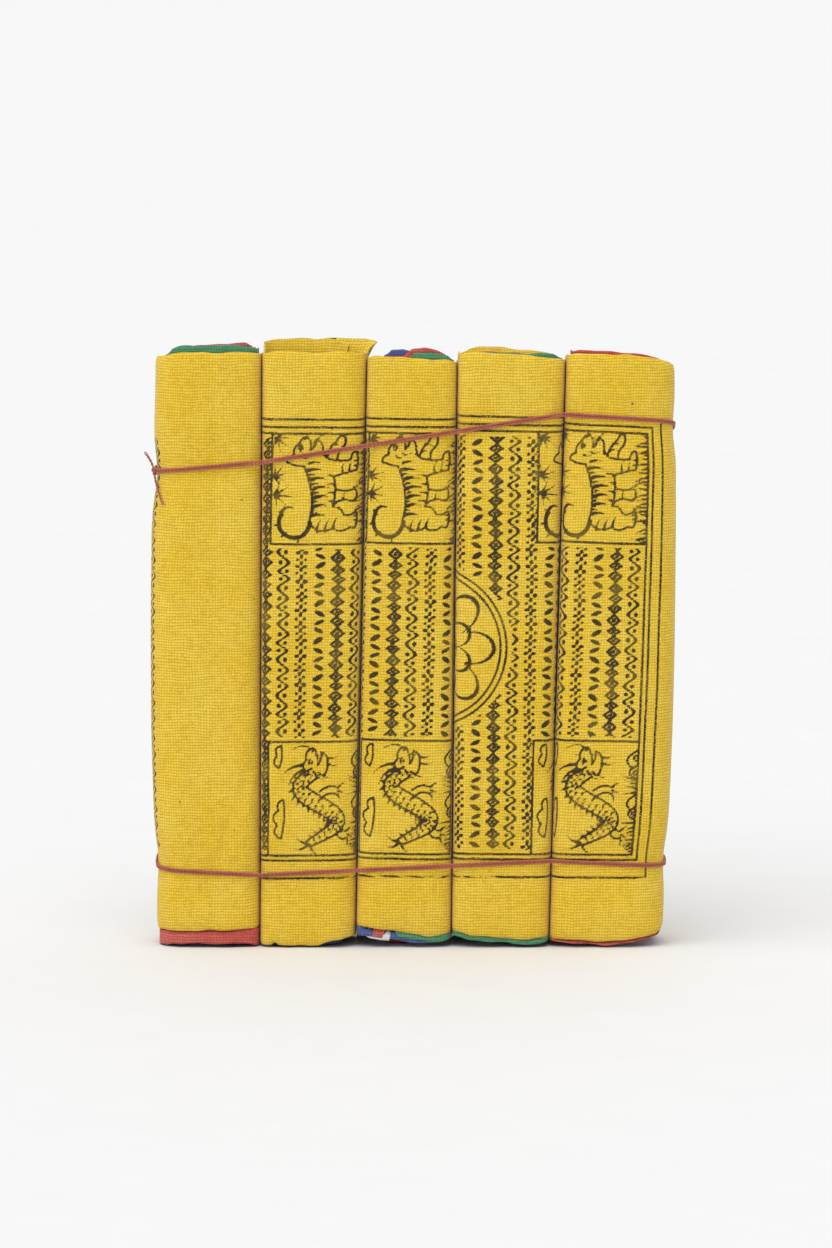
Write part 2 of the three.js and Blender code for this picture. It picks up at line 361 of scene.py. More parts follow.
def outline(angle: Array, squareness: Array) -> tuple[Array, Array]:
    """A point on the unit outline of a roll.

    Args:
        angle: Angle from the front towards the right, in radians.
        squareness: Power of the outline.

    Returns:
        The point's x and y.
    """
    x, y = np.sin(angle), -np.cos(angle)
    reach = (np.abs(x) ** squareness + np.abs(y) ** squareness) ** (-1.0 / squareness)
    return x * reach, y * reach


def pinch(x: Array, y: Array, z: Array) -> Array:
    """How much the ties draw the cloth in at a point.

    Args:
        x: Places along the row of rolls.
        y: Places from front to back.
        z: Heights.

    Returns:
        1 under a thread, falling to 0 well away from both.
    """
    pulls = [np.exp(-(((z - tie.height(x, y)) / PINCH_REACH) ** 2)) for tie in TIES]
    return np.maximum(*pulls)


def segment_distance(x: Array, y: Array, first: Array, second: Array) -> Array:
    """Distance from points to a straight piece of line.

    Args:
        x: Places across.
        y: Places up.
        first: One end of the line.
        second: Its other end.

    Returns:
        The distances.
    """
    along = second - first
    share = ((x - first[0]) * along[0] + (y - first[1]) * along[1]) / max(float(along @ along), 1e-9)
    share = np.clip(share, 0.0, 1.0)
    return np.hypot(x - first[0] - share * along[0], y - first[1] - share * along[1])


@dataclass(frozen=True)
class Stroke:
    """A curved cut of the print block: its ends, the point that bends it, its width and its end's share of that."""

    start: Pair
    bend: Pair
    end: Pair
    width: float = 0.7
    taper: float = 1.0
    samples: int = 8

    def distance(self, x: Array, y: Array) -> Array:
        """Distance from points to the edge of the stroke.

        Args:
            x: Places along the panel.
            y: Places up the panel.

        Returns:
            The distances, below 0 inside the stroke.
        """
        steps = np.linspace(0.0, 1.0, self.samples)[:, None]
        ends = [np.array(p) for p in (self.start, self.bend, self.end)]
        points = (1 - steps) ** 2 * ends[0] + 2 * steps * (1 - steps) * ends[1] + steps**2 * ends[2]
        halves = np.linspace(1.0, self.taper, len(points) - 1) * self.width / 2.0
        nearest = np.full(x.shape, NO_INK)
        for first, second, half in zip(points[:-1], points[1:], halves):
            nearest = np.minimum(nearest, segment_distance(x, y, first, second) - half)
        return nearest


def cuts(width: float, taper: float, *runs: tuple[float, ...]) -> tuple[Stroke, ...]:
    """Strokes of one width.

    Args:
        width: Their width.
        taper: Their ends' share of it.
        *runs: For each stroke, x and y of its start, its bend and its end.

    Returns:
        The strokes.
    """
    return tuple(Stroke(run[0:2], run[2:4], run[4:6], width, taper) for run in runs)


def reached(start: Pair, way: float, length: float) -> Pair:
    """The point at a length from another, in a direction in degrees."""
    return start[0] + length * math.cos(math.radians(way)), start[1] + length * math.sin(math.radians(way))


def tuft(x: float, y: float, size: float, turn: float) -> tuple[Stroke, ...]:
    """A spray of five pointed leaves.

    Args:
        x: Place of the spray's root along the panel.
        y: Place of its root up the panel.
        size: Length of its leaves.
        turn: Way that it points, in degrees from the panel's length.

    Returns:
        The strokes.
    """
    curl, shortening, lower_share, upper_share = 1.6, 190.0, 0.55, 0.5
    leaves = []
    for lean in (-56.0, -28.0, 0.0, 28.0, 56.0):
        length = size * (1.0 - abs(lean) / shortening)
        bend = reached((x, y), turn + lean, lower_share * length)
        tip = reached(bend, turn + curl * lean, upper_share * length)
        leaves.append(Stroke((x, y), bend, tip, BLADE_WIDTH, POINTED))
    return tuple(leaves)


def grass(first: float, last: float, seed: int) -> tuple[Stroke, ...]:
    """A row of grass blades along the ground of a panel.

    Args:
        first: Place of the first blade along the panel.
        last: Place of the last blade.
        seed: Number that sets the blades' sizes.

    Returns:
        The strokes.
    """
    spacing, sizes, leans, ground = 1.25, (2.0, 5.2), (-1.7, 1.7), -0.2
    draw = np.random.default_rng(seed)
    blades = []
    for x in np.arange(first, last, spacing):
        size, lean = draw.uniform(*sizes), draw.uniform(*leans)
        bend = (x + 0.2 * lean, 0.6 * size)
        blades.append(Stroke((x, ground), bend, (x + lean, size), BLADE_WIDTH, POINTED))
    return tuple(blades)


def scaled_body(points: int, reach: Pair, rise: Pair, wave: Pair, fat: float) -> tuple[Stroke, ...]:
    """A long waving body with scales and a row of spines.

    Args:
        points: Number of scales along the body.
        reach: Places of the tail and the neck along the panel.
        rise: Middle height of the body and height of its waves.
        wave: Number of its waves and where they start, in radians.
        fat: Half of the body's greatest width.

    Returns:
        The strokes.
    """
    spine_up, spine_back, spine_width = 1.5, 0.6, 0.85
    scale_half, scale_bend, scale_width = 0.45, 0.9, 0.52
    odd_scales, even_scales = (-0.45, 0.4), (0.0, 0.75)
    belly_start, belly_run, belly_power = 0.35, 2.1, 0.8
    share = np.linspace(0.0, 1.0, points)
    wavy = rise[0] + rise[1] * np.sin(FULL_TURN * wave[0] * share + wave[1])
    line = np.stack([blend(*reach, share), wavy], 1)
    along = np.gradient(line, axis=0)
    along /= np.linalg.norm(along, axis=1, keepdims=True)
    across = np.stack([-along[:, 1], along[:, 0]], 1)
    half = (fat * np.sin(belly_start + belly_run * share) ** belly_power)[:, None]
    upper, lower = line + half * across, line - half * across
    found = []
    for edge in (upper, lower):
        found += [Stroke(tuple(p), tuple((p + q) / 2.0), tuple(q)) for p, q in zip(edge[:-1], edge[1:])]
    for index in range(1, points - 1):
        root = upper[index]
        spine = root + spine_up * across[index] - spine_back * along[index]
        found.append(Stroke(tuple(root), tuple((root + spine) / 2.0), tuple(spine), spine_width, POINTED))
        for side in odd_scales if index % 2 else even_scales:
            middle = line[index] + side * half[index] * across[index]
            low, high = middle - scale_half * across[index], middle + scale_half * across[index]
            found.append(Stroke(tuple(low), tuple(middle + scale_bend * along[index]), tuple(high), scale_width))
    return tuple(found)


STRIPED_BEAST: tuple[Stroke, ...] = (
    # The outline of the body, the head and the legs.
    *cuts(0.7, 1.0, (6.4, 17.2, 13.5, 15.0, 22.4, 18.8), (22.4, 18.8, 22.4, 21.0, 23.6, 23.6),
          (23.6, 23.6, 25.4, 23.4, 25.6, 21.6), (25.6, 21.6, 27.6, 22.2, 29.0, 20.2),
          (29.0, 20.2, 30.8, 19.6, 31.0, 18.0), (30.2, 15.4, 29.8, 13.4, 27.2, 13.6),
          (27.2, 13.6, 25.2, 13.2, 24.6, 11.8), (10.8, 10.6, 15.5, 9.2, 19.6, 10.4),
          (24.6, 11.8, 23.8, 8.6, 24.4, 5.6), (24.4, 5.6, 27.2, 5.4, 26.6, 3.8),
          (21.4, 3.8, 20.8, 7.0, 19.6, 10.4), (25.0, 12.6, 28.0, 11.8, 29.6, 9.8),
          (29.6, 9.8, 32.0, 9.0, 31.0, 7.4), (27.8, 8.2, 26.4, 9.6, 24.4, 9.4),
          (6.4, 17.2, 2.2, 14.6, 4.6, 10.6), (4.6, 10.6, 3.0, 8.0, 5.0, 5.6),
          (5.0, 5.6, 4.0, 3.8, 6.0, 3.6), (9.4, 4.0, 8.0, 5.6, 8.6, 7.4), (8.6, 7.4, 11.0, 8.2, 10.8, 10.6),
          (11.6, 10.2, 13.6, 8.2, 12.6, 5.4), (14.6, 3.6, 16.6, 3.8, 15.8, 5.2),
          (15.8, 5.2, 15.0, 7.2, 16.0, 9.8)),
    # The jaws.
    *cuts(0.65, 1.0, (31.0, 18.0, 29.6, 16.6, 27.2, 17.0), (27.2, 17.0, 28.0, 15.4, 30.2, 15.4)),
    # The soles and the eye.
    *cuts(0.84, 1.0, (26.6, 3.8, 24.0, 3.0, 21.4, 3.8), (31.0, 7.4, 29.2, 6.8, 27.8, 8.2),
          (6.0, 3.6, 8.4, 2.8, 9.4, 4.0), (12.6, 5.4, 12.2, 3.4, 14.6, 3.6),
          (27.5, 19.4, 27.8, 19.3, 28.1, 19.4)),
    # The tail.
    *cuts(1.29, 1.0, (6.2, 16.8, 1.0, 18.0, 2.0, 22.4)),
    *cuts(1.22, 1.0, (2.0, 22.4, 3.4, 26.6, 8.0, 25.4)),
    *cuts(1.14, 0.5, (8.0, 25.4, 11.6, 24.4, 10.4, 21.8)),
    # The long stripes of the body.
    *cuts(1.14, 0.3, (8.2, 16.6, 9.0, 14.4, 8.2, 12.2), (10.8, 16.0, 11.8, 13.8, 11.0, 11.8),
          (13.4, 15.8, 14.4, 13.6, 13.6, 11.6), (16.0, 16.0, 17.0, 13.8, 16.2, 11.6),
          (18.6, 16.8, 19.6, 14.6, 18.8, 12.2), (21.2, 18.0, 22.0, 15.8, 21.2, 13.2)),
    # The stripes of the neck and the haunch.
    *cuts(0.91, 0.3, (23.2, 17.4, 24.2, 15.6, 23.4, 13.8), (3.6, 14.8, 5.4, 15.0, 7.0, 13.8),
          (3.8, 12.6, 5.6, 12.6, 7.2, 11.4), (4.8, 10.2, 6.4, 10.2, 7.8, 9.2)),
    # The stripes of the forelegs.
    *cuts(0.76, 0.4, (21.0, 8.0, 22.2, 8.4, 23.4, 7.8), (21.2, 5.9, 22.4, 6.2, 23.6, 5.6),
          (26.6, 12.0, 27.2, 10.8, 26.6, 9.8), (28.6, 11.0, 29.0, 9.8, 28.4, 8.8)),
    # The stripes of the cheek and a hind leg.
    *cuts(0.68, 0.4, (12.8, 7.6, 13.8, 7.8, 14.8, 7.4), (25.2, 19.6, 24.4, 18.4, 25.0, 17.2),
          (26.0, 17.6, 25.4, 16.2, 26.2, 14.8)),
    # The brow and the nose.
    *cuts(0.61, 1.0, (26.8, 19.9, 27.8, 20.7, 28.7, 19.7), (30.2, 18.8, 30.4, 18.6, 30.5, 18.3)),
    # The teeth.
    *cuts(0.53, 0.4, (28.4, 17.0, 28.5, 16.5, 28.8, 16.0), (30.0, 17.3, 30.0, 16.8, 30.1, 16.2)),
    # The short stripes along the back.
    *cuts(0.75, 0.3, (9.5, 16.4, 9.9, 15.7, 9.6, 14.9), (12.1, 16.0, 12.6, 15.2, 12.2, 14.4),
          (14.7, 15.8, 15.2, 15.0, 14.8, 14.2), (17.3, 16.4, 17.8, 15.5, 17.4, 14.7),
          (19.9, 17.4, 20.4, 16.4, 20.0, 15.6)),
    # The short stripes along the belly.
    *cuts(0.8, 0.3, (12.2, 10.6, 12.8, 11.6, 12.4, 12.8), (14.6, 10.1, 15.2, 11.2, 14.8, 12.4),
          (17.0, 10.0, 17.6, 11.1, 17.2, 12.3), (19.6, 10.6, 20.2, 11.6, 19.9, 12.8)),
    # The rings of the tail.
    *cuts(0.62, 1.0, (0.8, 20.1, 1.5, 20.4, 2.3, 20.0), (2.0, 24.9, 2.8, 24.4, 3.4, 23.6),
          (5.4, 26.8, 5.6, 26.0, 5.5, 25.2), (9.5, 25.8, 9.0, 25.1, 8.4, 24.4)),
    # The claws.
    *cuts(0.6, 1.0, (22.6, 3.4, 22.8, 4.0, 22.6, 4.6), (24.1, 3.2, 24.3, 3.8, 24.1, 4.5),
          (7.0, 3.2, 7.2, 3.8, 7.0, 4.4), (8.2, 3.3, 8.4, 3.9, 8.2, 4.4)),
    # The tongue and the throat.
    *cuts(0.6, 0.5, (29.4, 16.0, 30.8, 15.0, 31.6, 13.4)),
    *cuts(0.65, 0.3, (25.8, 13.7, 25.2, 12.9, 25.5, 12.0)),
    # The plants.
    *grass(0.6, 32.0, 5),
    *tuft(14.4, 27.2, 5.4, 262.0),
    *tuft(19.4, 27.4, 4.6, 285.0),
    *tuft(30.6, 27.0, 4.8, 236.0),
)

COILED_BEAST: tuple[Stroke, ...] = (
    *scaled_body(24, (3.4, 24.2), (12.8, 5.8), (1.05, 2.6), 2.3),
    # The outline of the head, the legs, the rocks and the clouds.
    *cuts(0.7, 1.0, (23.6, 16.4, 26.0, 18.8, 28.0, 16.8), (28.0, 16.8, 30.2, 17.4, 31.2, 15.6),
          (31.2, 15.6, 31.8, 14.2, 30.2, 14.0), (30.4, 12.4, 29.6, 10.2, 26.6, 10.6),
          (26.6, 10.6, 24.6, 10.4, 23.4, 11.6), (16.4, 12.4, 19.2, 10.0, 17.8, 7.4),
          (18.8, 12.6, 21.2, 9.8, 19.8, 7.2), (6.2, 7.4, 4.2, 6.2, 5.0, 4.2),
          (8.4, 6.6, 6.8, 5.6, 7.2, 4.0), (10.4, 0.0, 12.0, 4.4, 14.2, 0.0),
          (13.4, 1.6, 15.6, 4.6, 17.8, 0.0), (22.4, 0.0, 24.2, 5.0, 26.4, 0.0),
          (25.6, 1.8, 28.4, 5.4, 30.8, 0.0), (5.0, 24.0, 6.2, 27.2, 9.0, 25.2),
          (9.0, 25.2, 11.6, 27.8, 13.2, 24.8), (13.2, 24.8, 15.8, 26.0, 16.4, 23.4),
          (5.0, 24.0, 10.5, 22.6, 16.4, 23.4), (25.6, 24.8, 27.0, 27.4, 29.2, 25.4),
          (29.2, 25.4, 31.6, 26.6, 32.2, 24.2), (25.6, 24.8, 29.0, 23.4, 32.2, 24.2)),
    # The jaws.
    *cuts(0.65, 1.0, (30.2, 14.0, 28.0, 13.0, 26.4, 13.4), (26.4, 13.4, 28.2, 12.0, 30.4, 12.4)),
    # The horns.
    *cuts(1.06, 0.3, (25.0, 17.4, 24.2, 20.8, 20.6, 22.0), (26.4, 17.8, 26.4, 21.4, 23.8, 23.6)),
    # The brow, the nose and the cracks of the rocks.
    *cuts(0.61, 1.0, (26.5, 15.7, 27.3, 16.5, 28.2, 15.6), (30.3, 15.2, 30.5, 15.0, 30.7, 15.2),
          (11.6, 0.4, 12.2, 1.8, 12.9, 0.4), (23.7, 0.4, 24.3, 2.2, 25.0, 0.4),
          (27.6, 0.4, 28.4, 2.6, 29.3, 0.4)),
    # The eye and the whisker.
    *cuts(0.84, 1.0, (27.1, 15.2, 27.3, 15.1, 27.6, 15.2)),
    *cuts(0.68, 0.5, (30.8, 14.6, 33.2, 17.6, 31.0, 21.0)),
    # The teeth.
    *cuts(0.53, 0.4, (29.4, 14.0, 29.4, 13.4, 29.6, 12.8), (27.6, 13.4, 27.7, 13.0, 27.9, 12.5)),
    # The beard.
    *cuts(0.76, 0.3, (26.8, 10.4, 26.0, 8.4, 27.0, 6.8), (28.6, 10.4, 28.2, 8.6, 29.2, 7.2)),
    # The mane.
    *cuts(0.84, 0.3, (24.6, 14.6, 22.6, 13.6, 21.8, 11.0), (24.2, 13.0, 22.8, 11.4, 22.6, 9.2)),
    # The claws.
    *cuts(0.76, 0.4, (17.8, 7.4, 16.8, 6.4, 15.8, 6.8), (18.8, 7.2, 18.8, 6.0, 18.0, 5.0),
          (19.8, 7.2, 21.0, 6.4, 21.2, 5.2), (5.0, 4.2, 3.6, 3.6, 2.8, 4.2), (6.0, 4.0, 5.6, 2.8, 4.8, 2.2),
          (7.2, 4.0, 8.2, 3.2, 8.4, 2.2)),
    # The tuft of the tail.
    *cuts(0.99, 0.3, (3.4, 15.8, 1.2, 17.4, 2.0, 20.2), (3.6, 16.2, 3.8, 18.4, 5.6, 19.6)),
    *cuts(0.91, 0.3, (3.0, 15.2, 1.0, 15.0, 0.6, 13.0)),
    # The plants.
    *grass(0.8, 9.8, 8),
    *grass(18.4, 22.6, 9),
)


@dataclass
class BlockPrint:
    """The black block print of a flag: frames, corner beasts, rows of small ornaments and a lotus.

    The insets and gaps keep the parts of the print clear of each other. A row's stretch and ripple are the
    size and the fineness of its unevenness along and across. Each ring of petals has its radius, its petals'
    length and the slope that makes its distances true.
    """

    margin: float
    lean: float
    tilt: Pair
    seed: int
    framed: bool = True
    half_width: float = 66.7
    half_length: float = 64.0
    middle_height: float = 87.3
    side_insets: tuple[float, ...] = (0.0, 3.1, 4.7)
    head_insets: tuple[float, ...] = (0.0, 2.3, 4.1)
    foot_insets: tuple[float, ...] = (0.0, 5.2, 6.7)
    dividers: Pair = (30.7, -26.7)
    line: float = 0.74
    reach: float = 1.2
    panel_depth: float = 28.0
    panel_slack: float = 0.2
    row_pitch: float = 5.2
    row_inset: float = 0.8
    row_turn: float = 1.9
    row_shift: float = 1.3
    stretch: Pair = (0.3, 0.61)
    ripple: Pair = (0.18, 0.43)
    panel_gap: float = 0.4
    divider_gap: float = 1.2
    end_gap: float = 1.4
    far_gap: float = 1.0
    ring_gap: float = 1.6
    lotus_radius: float = 23.0
    lotus_rim: float = 1.7
    petals: Point = (10.0, 9.4, 0.55)
    inner_petals: Point = (8.2, 5.0, 0.6)
    petal_power: float = 0.6
    lotus_ring: float = 7.4
    heart: Point = (4.6, 1.6, 0.7)
    heart_dot: float = 1.4
    speck_count: int = 26
    speck_places: tuple[Pair, Pair] = ((2.0, 6.0), (104.0, 166.0))
    speck_sizes: Pair = (0.12, 0.4)

    def distance(self, arc: Array, height: Array) -> Array:
        """Distance from places on the flag to the edge of the nearest ink.

        Args:
            arc: Places along the winding, from the flag's loose edge.
            height: Places up the roll.

        Returns:
            The distances in millimetres, below 0 inside the ink.
        """
        rise = height - self.middle_height
        across = arc - self.margin - self.half_length
        x = across + rise * math.tan(math.radians(self.lean))
        tilt = np.radians(blend(self.tilt[0], self.tilt[1], height / HEAD_HEIGHT))
        s = x + self.half_length
        w = rise - (s - self.inner) * np.tan(tilt)
        found = [self.rows(s, w), self.lotus(x, w), self.specks(arc, height)]
        if self.framed:
            found += [self.frames(x, w), self.panels(s, w), self.beasts(s, w)]
        return np.clip(np.min(found, axis=0), -self.reach, self.reach)

    @property
    def inner(self) -> float:
        """Inset of the innermost frame."""
        return self.side_insets[-1]

    @property
    def ends(self) -> Pair:
        """Places of the innermost frame's upper and lower lines."""
        return self.half_width - self.head_insets[-1], self.foot_insets[-1] - self.half_width

    def frames(self, x: Array, w: Array) -> Array:
        """Distance to the nested frames.

        Args:
            x: Places across the flag, from its middle.
            w: Places along its width, from its middle.

        Returns:
            The distances.
        """
        boxes = []
        for side, head, foot in zip(self.side_insets, self.head_insets, self.foot_insets):
            high = np.maximum(w - self.half_width + head, foot - self.half_width - w)
            boxes.append(np.abs(np.maximum(np.abs(x) - self.half_length + side, high)))
        return np.min(boxes, axis=0) - self.line / 2.0

    def panels(self, s: Array, w: Array) -> Array:
        """Distance to the lines that part the corner panels from the rows.

        Args:
            s: Places across the flag, from its outer frame.
            w: Places along its width, from its middle.

        Returns:
            The distances.
        """
        far = self.inner + self.panel_depth
        lines = []
        for divider, end in zip(self.dividers, self.ends):
            foot, corner, head = (np.array(p) for p in ((self.inner, divider), (far, divider), (far, end)))
            lines += [segment_distance(s, w, foot, corner), segment_distance(s, w, corner, head)]
        return np.min(lines, axis=0) - self.line / 2.0

    def rows(self, s: Array, w: Array) -> Array:
        """Distance to the rows of small ornaments.

        Args:
            s: Places across the flag, from its outer frame.
            w: Places along its width, from its middle.

        Returns:
            The distances.
        """
        row = np.floor((s - self.inner - self.row_inset) / self.row_pitch)
        turn = row * self.row_turn + self.seed
        along = w + self.stretch[0] * np.sin(self.stretch[1] * w + turn) + self.row_shift * np.sin(turn)
        up = s - self.inner - self.row_inset - (row + 0.5) * self.row_pitch
        up = up + self.ripple[0] * np.sin(self.ripple[1] * w + 2.0 * turn)
        bands = [self.lozenges(up, along), self.leaves(up, along), self.blossoms(up, along)]
        kind = (row + self.seed) % 4
        marks = np.select([kind == 0, kind == 1, kind == 2], bands, self.vine(up, along))
        head, foot = self.ends
        beside = s < self.inner + self.panel_depth + self.panel_gap
        beside &= self.framed & ((w > self.dividers[0] - self.divider_gap) | (w < self.dividers[1] + self.divider_gap))
        outside = (w > head - self.end_gap) | (w < foot + self.end_gap)
        outside |= (s < self.inner + self.row_inset) | (s > 2 * self.half_length - self.inner - self.far_gap)
        ring = np.hypot(s - self.half_length, w) < self.lotus_radius + self.ring_gap
        return np.where(beside | outside | ring, NO_INK, marks)

    @staticmethod
    def lozenges(up: Array, along: Array) -> Array:
        """Distance to a chain of lozenges with a dot in each.

        Args:
            up: Places across the row, from its middle.
            along: Places along the row.

        Returns:
            The distances.
        """
        pitch, high, long, slope, line, dot = 3.1, 1.75, 1.3, 1.05, 0.4, 0.58
        off = np.mod(along, pitch) - pitch / 2.0
        edge = np.abs(np.abs(up) / high + np.abs(off) / long - 1.0) * slope
        return np.minimum(edge - line, np.hypot(up, off) - dot)

    @staticmethod
    def leaves(up: Array, along: Array) -> Array:
        """Distance to a row of leaves that lean to and fro.

        Args:
            up: Places across the row, from its middle.
            along: Places along the row.

        Returns:
            The distances.
        """
        pitch, slant, half_long, half_wide = 2.7, 0.5, 1.9, 0.78
        off = np.mod(along, pitch) - pitch / 2.0
        lean = np.where(np.mod(along, 2.0 * pitch) < pitch, slant, -slant)
        long, short = up + lean * off, off - lean * up
        return (np.hypot(long / half_long, short / half_wide) - 1.0) * half_wide

    @staticmethod
    def blossoms(up: Array, along: Array) -> Array:
        """Distance to a row of four-petalled blossoms with dots between.

        Args:
            up: Places across the row, from its middle.
            along: Places along the row.

        Returns:
            The distances.
        """
        pitch, reach, fullness, slope, eye, dot_rise, dot = 4.3, 1.85, 0.7, 0.8, 0.42, 1.2, 0.52
        off = np.mod(along, pitch) - pitch / 2.0
        radius, turn = np.hypot(up, off), np.arctan2(up, off)
        petals = (radius - reach * np.abs(np.cos(2.0 * turn)) ** fullness) * slope
        dots = np.hypot(np.abs(up) - dot_rise, np.abs(off) - pitch / 2.0) - dot
        return np.minimum(np.maximum(petals, eye - radius), dots)

    @staticmethod
    def vine(up: Array, along: Array) -> Array:
        """Distance to a waving vine with a berry in each hollow.

        Args:
            up: Places across the row, from its middle.
            along: Places along the row.

        Returns:
            The distances.
        """
        pitch, swing, slope, line, berry_rise, berry = 5.2, 1.4, 0.7, 0.42, 0.85, 0.66
        wave = np.sin(FULL_TURN * along / pitch)
        off = np.mod(along, pitch / 2.0) - pitch / 4.0
        berries = np.hypot(up + berry_rise * np.sign(wave), off) - berry
        return np.minimum(np.abs(up - swing * wave) * slope - line, berries)

    def lotus(self, x: Array, w: Array) -> Array:
        """Distance to the eight-petalled lotus in the flag's middle.

        Args:
            x: Places across the flag, from its middle.
            w: Places along its width, from its middle.

        Returns:
            The distances.
        """
        radius = np.hypot(x, w)
        turn = np.arctan2(w, x)
        waves = (
            (self.petals, np.abs(np.cos(4.0 * turn)) ** self.petal_power),
            (self.inner_petals, np.abs(np.sin(4.0 * turn)) ** self.petal_power),
            (self.heart, np.cos(8.0 * turn)),
        )
        lines = [np.abs(radius - root - length * wave) * slope for (root, length, slope), wave in waves]
        lines += [np.abs(radius - self.lotus_radius), np.abs(radius - self.lotus_radius + self.lotus_rim)]
        lines.append(np.abs(radius - self.lotus_ring))
        return np.minimum(np.min(lines, axis=0) - self.line / 2.0, radius - self.heart_dot)

    def beasts(self, s: Array, w: Array) -> Array:
        """Distance to the beasts in the two corner panels.

        Args:
            s: Places across the flag, from its outer frame.
            w: Places along its width, from its middle.

        Returns:
            The distances.
        """
        found = np.full(s.shape, NO_INK)
        slack = self.panel_slack
        up = s - self.inner
        inside = (up > -slack) & (up < self.panel_depth + slack)
        for beast, start, end in ((STRIPED_BEAST, self.dividers[0], self.ends[0]),
                                  (COILED_BEAST, self.ends[1], self.dividers[1])):
            along = w - start
            near = (w > start - slack) & (w < end + slack) & inside
            if near.any():
                local = np.min([stroke.distance(along[near], up[near]) for stroke in beast], axis=0)
                found[near] = np.minimum(found[near], local)
        return found

    def specks(self, arc: Array, height: Array) -> Array:
        """Distance to stray specks of ink.

        Args:
            arc: Places along the winding, from the flag's loose edge.
            height: Places up the roll.

        Returns:
            The distances.
        """
        draw = np.random.default_rng(self.seed + 1)
        places = draw.uniform(*self.speck_places, (self.speck_count, 2))
        sizes = draw.uniform(*self.speck_sizes, self.speck_count)
        found = np.full(arc.shape, NO_INK)
        for (x, z), size in zip(places, sizes):
            found = np.minimum(found, np.hypot(arc - x, height - z) - size)
        return found


def mesh_object(name: str, net: bmesh.types.BMesh) -> bpy.types.Object:
    """Turn a net into a smooth object in the scene.

    Args:
        name: Name of the object.
        net: Its net, which is freed.

    Returns:
        The new object.
    """
    mesh = bpy.data.meshes.new(name)
    net.to_mesh(mesh)
    net.free()
    mesh.polygons.foreach_set("use_smooth", np.ones(len(mesh.polygons), bool))
    made = bpy.data.objects.new(name, mesh)
    bpy.context.scene.collection.objects.link(made)
    return made


@dataclass
class ClothPatch:
    """A rectangular net of cloth: its points, its places on the flag and its distance from ink."""

    points: Array
    places: Array
    ink: Optional[Array] = None


def cloth_object(name: str, patches: list[ClothPatch]) -> bpy.types.Object:
    """Make a sheet from nets of cloth.

    Args:
        name: Name of the sheet.
        patches: The nets, in millimetres, with rows going up and columns to the right seen from outside.

    Returns:
        The new object, with its places on the flag as a UV map.
    """
    net = bmesh.new()
    for patch in patches:
        rows, columns = patch.points.shape[:2]
        bmesh.ops.create_grid(net, x_segments=columns - 1, y_segments=rows - 1, size=1.0)
    sheet = mesh_object(name, net)
    mesh = sheet.data
    points = np.concatenate([patch.points.reshape(-1, 3) for patch in patches]) * MM
    places = np.concatenate([patch.places.reshape(-1, 2) for patch in patches])
    mesh.vertices.foreach_set("co", points.astype(np.float32).ravel())
    corners = np.zeros(len(mesh.loops), np.int32)
    mesh.loops.foreach_get("vertex_index", corners)
    mesh.uv_layers.new(name="cloth").data.foreach_set("uv", places[corners].astype(np.float32).ravel())
    if patches[0].ink is not None:
        ink = np.concatenate([patch.ink.ravel() for patch in patches])
        mesh.attributes.new("ink", "FLOAT", "POINT").data.foreach_set("value", ink.astype(np.float32))
    mesh.update()
    return sheet


@dataclass(frozen=True)
class CreaseSizes:
    """The wrap's soft creases and its gathers beside the threads, in millimetres.

    The creases have spans for their places, lengths, widths and depths. The gathers have two waves, the
    share of the second, their depth and how far they reach from a thread.
    """

    count: int = 16
    along: Pair = (0.0, 106.0)
    up: Pair = (8.0, 166.0)
    tilt: float = 0.35
    length: Pair = (9.0, 34.0)
    width: Pair = (1.2, 3.4)
    depth: Pair = (-0.3, 0.42)
    depth_share: Pair = (0.4, 1.0)
    gather_waves: Pair = (0.83, 1.37)
    gather_second: float = 0.7
    gather_depth: float = 0.12
    gather_reach: float = 6.0
    gather_clear: Pair = (0.3, 2.5)


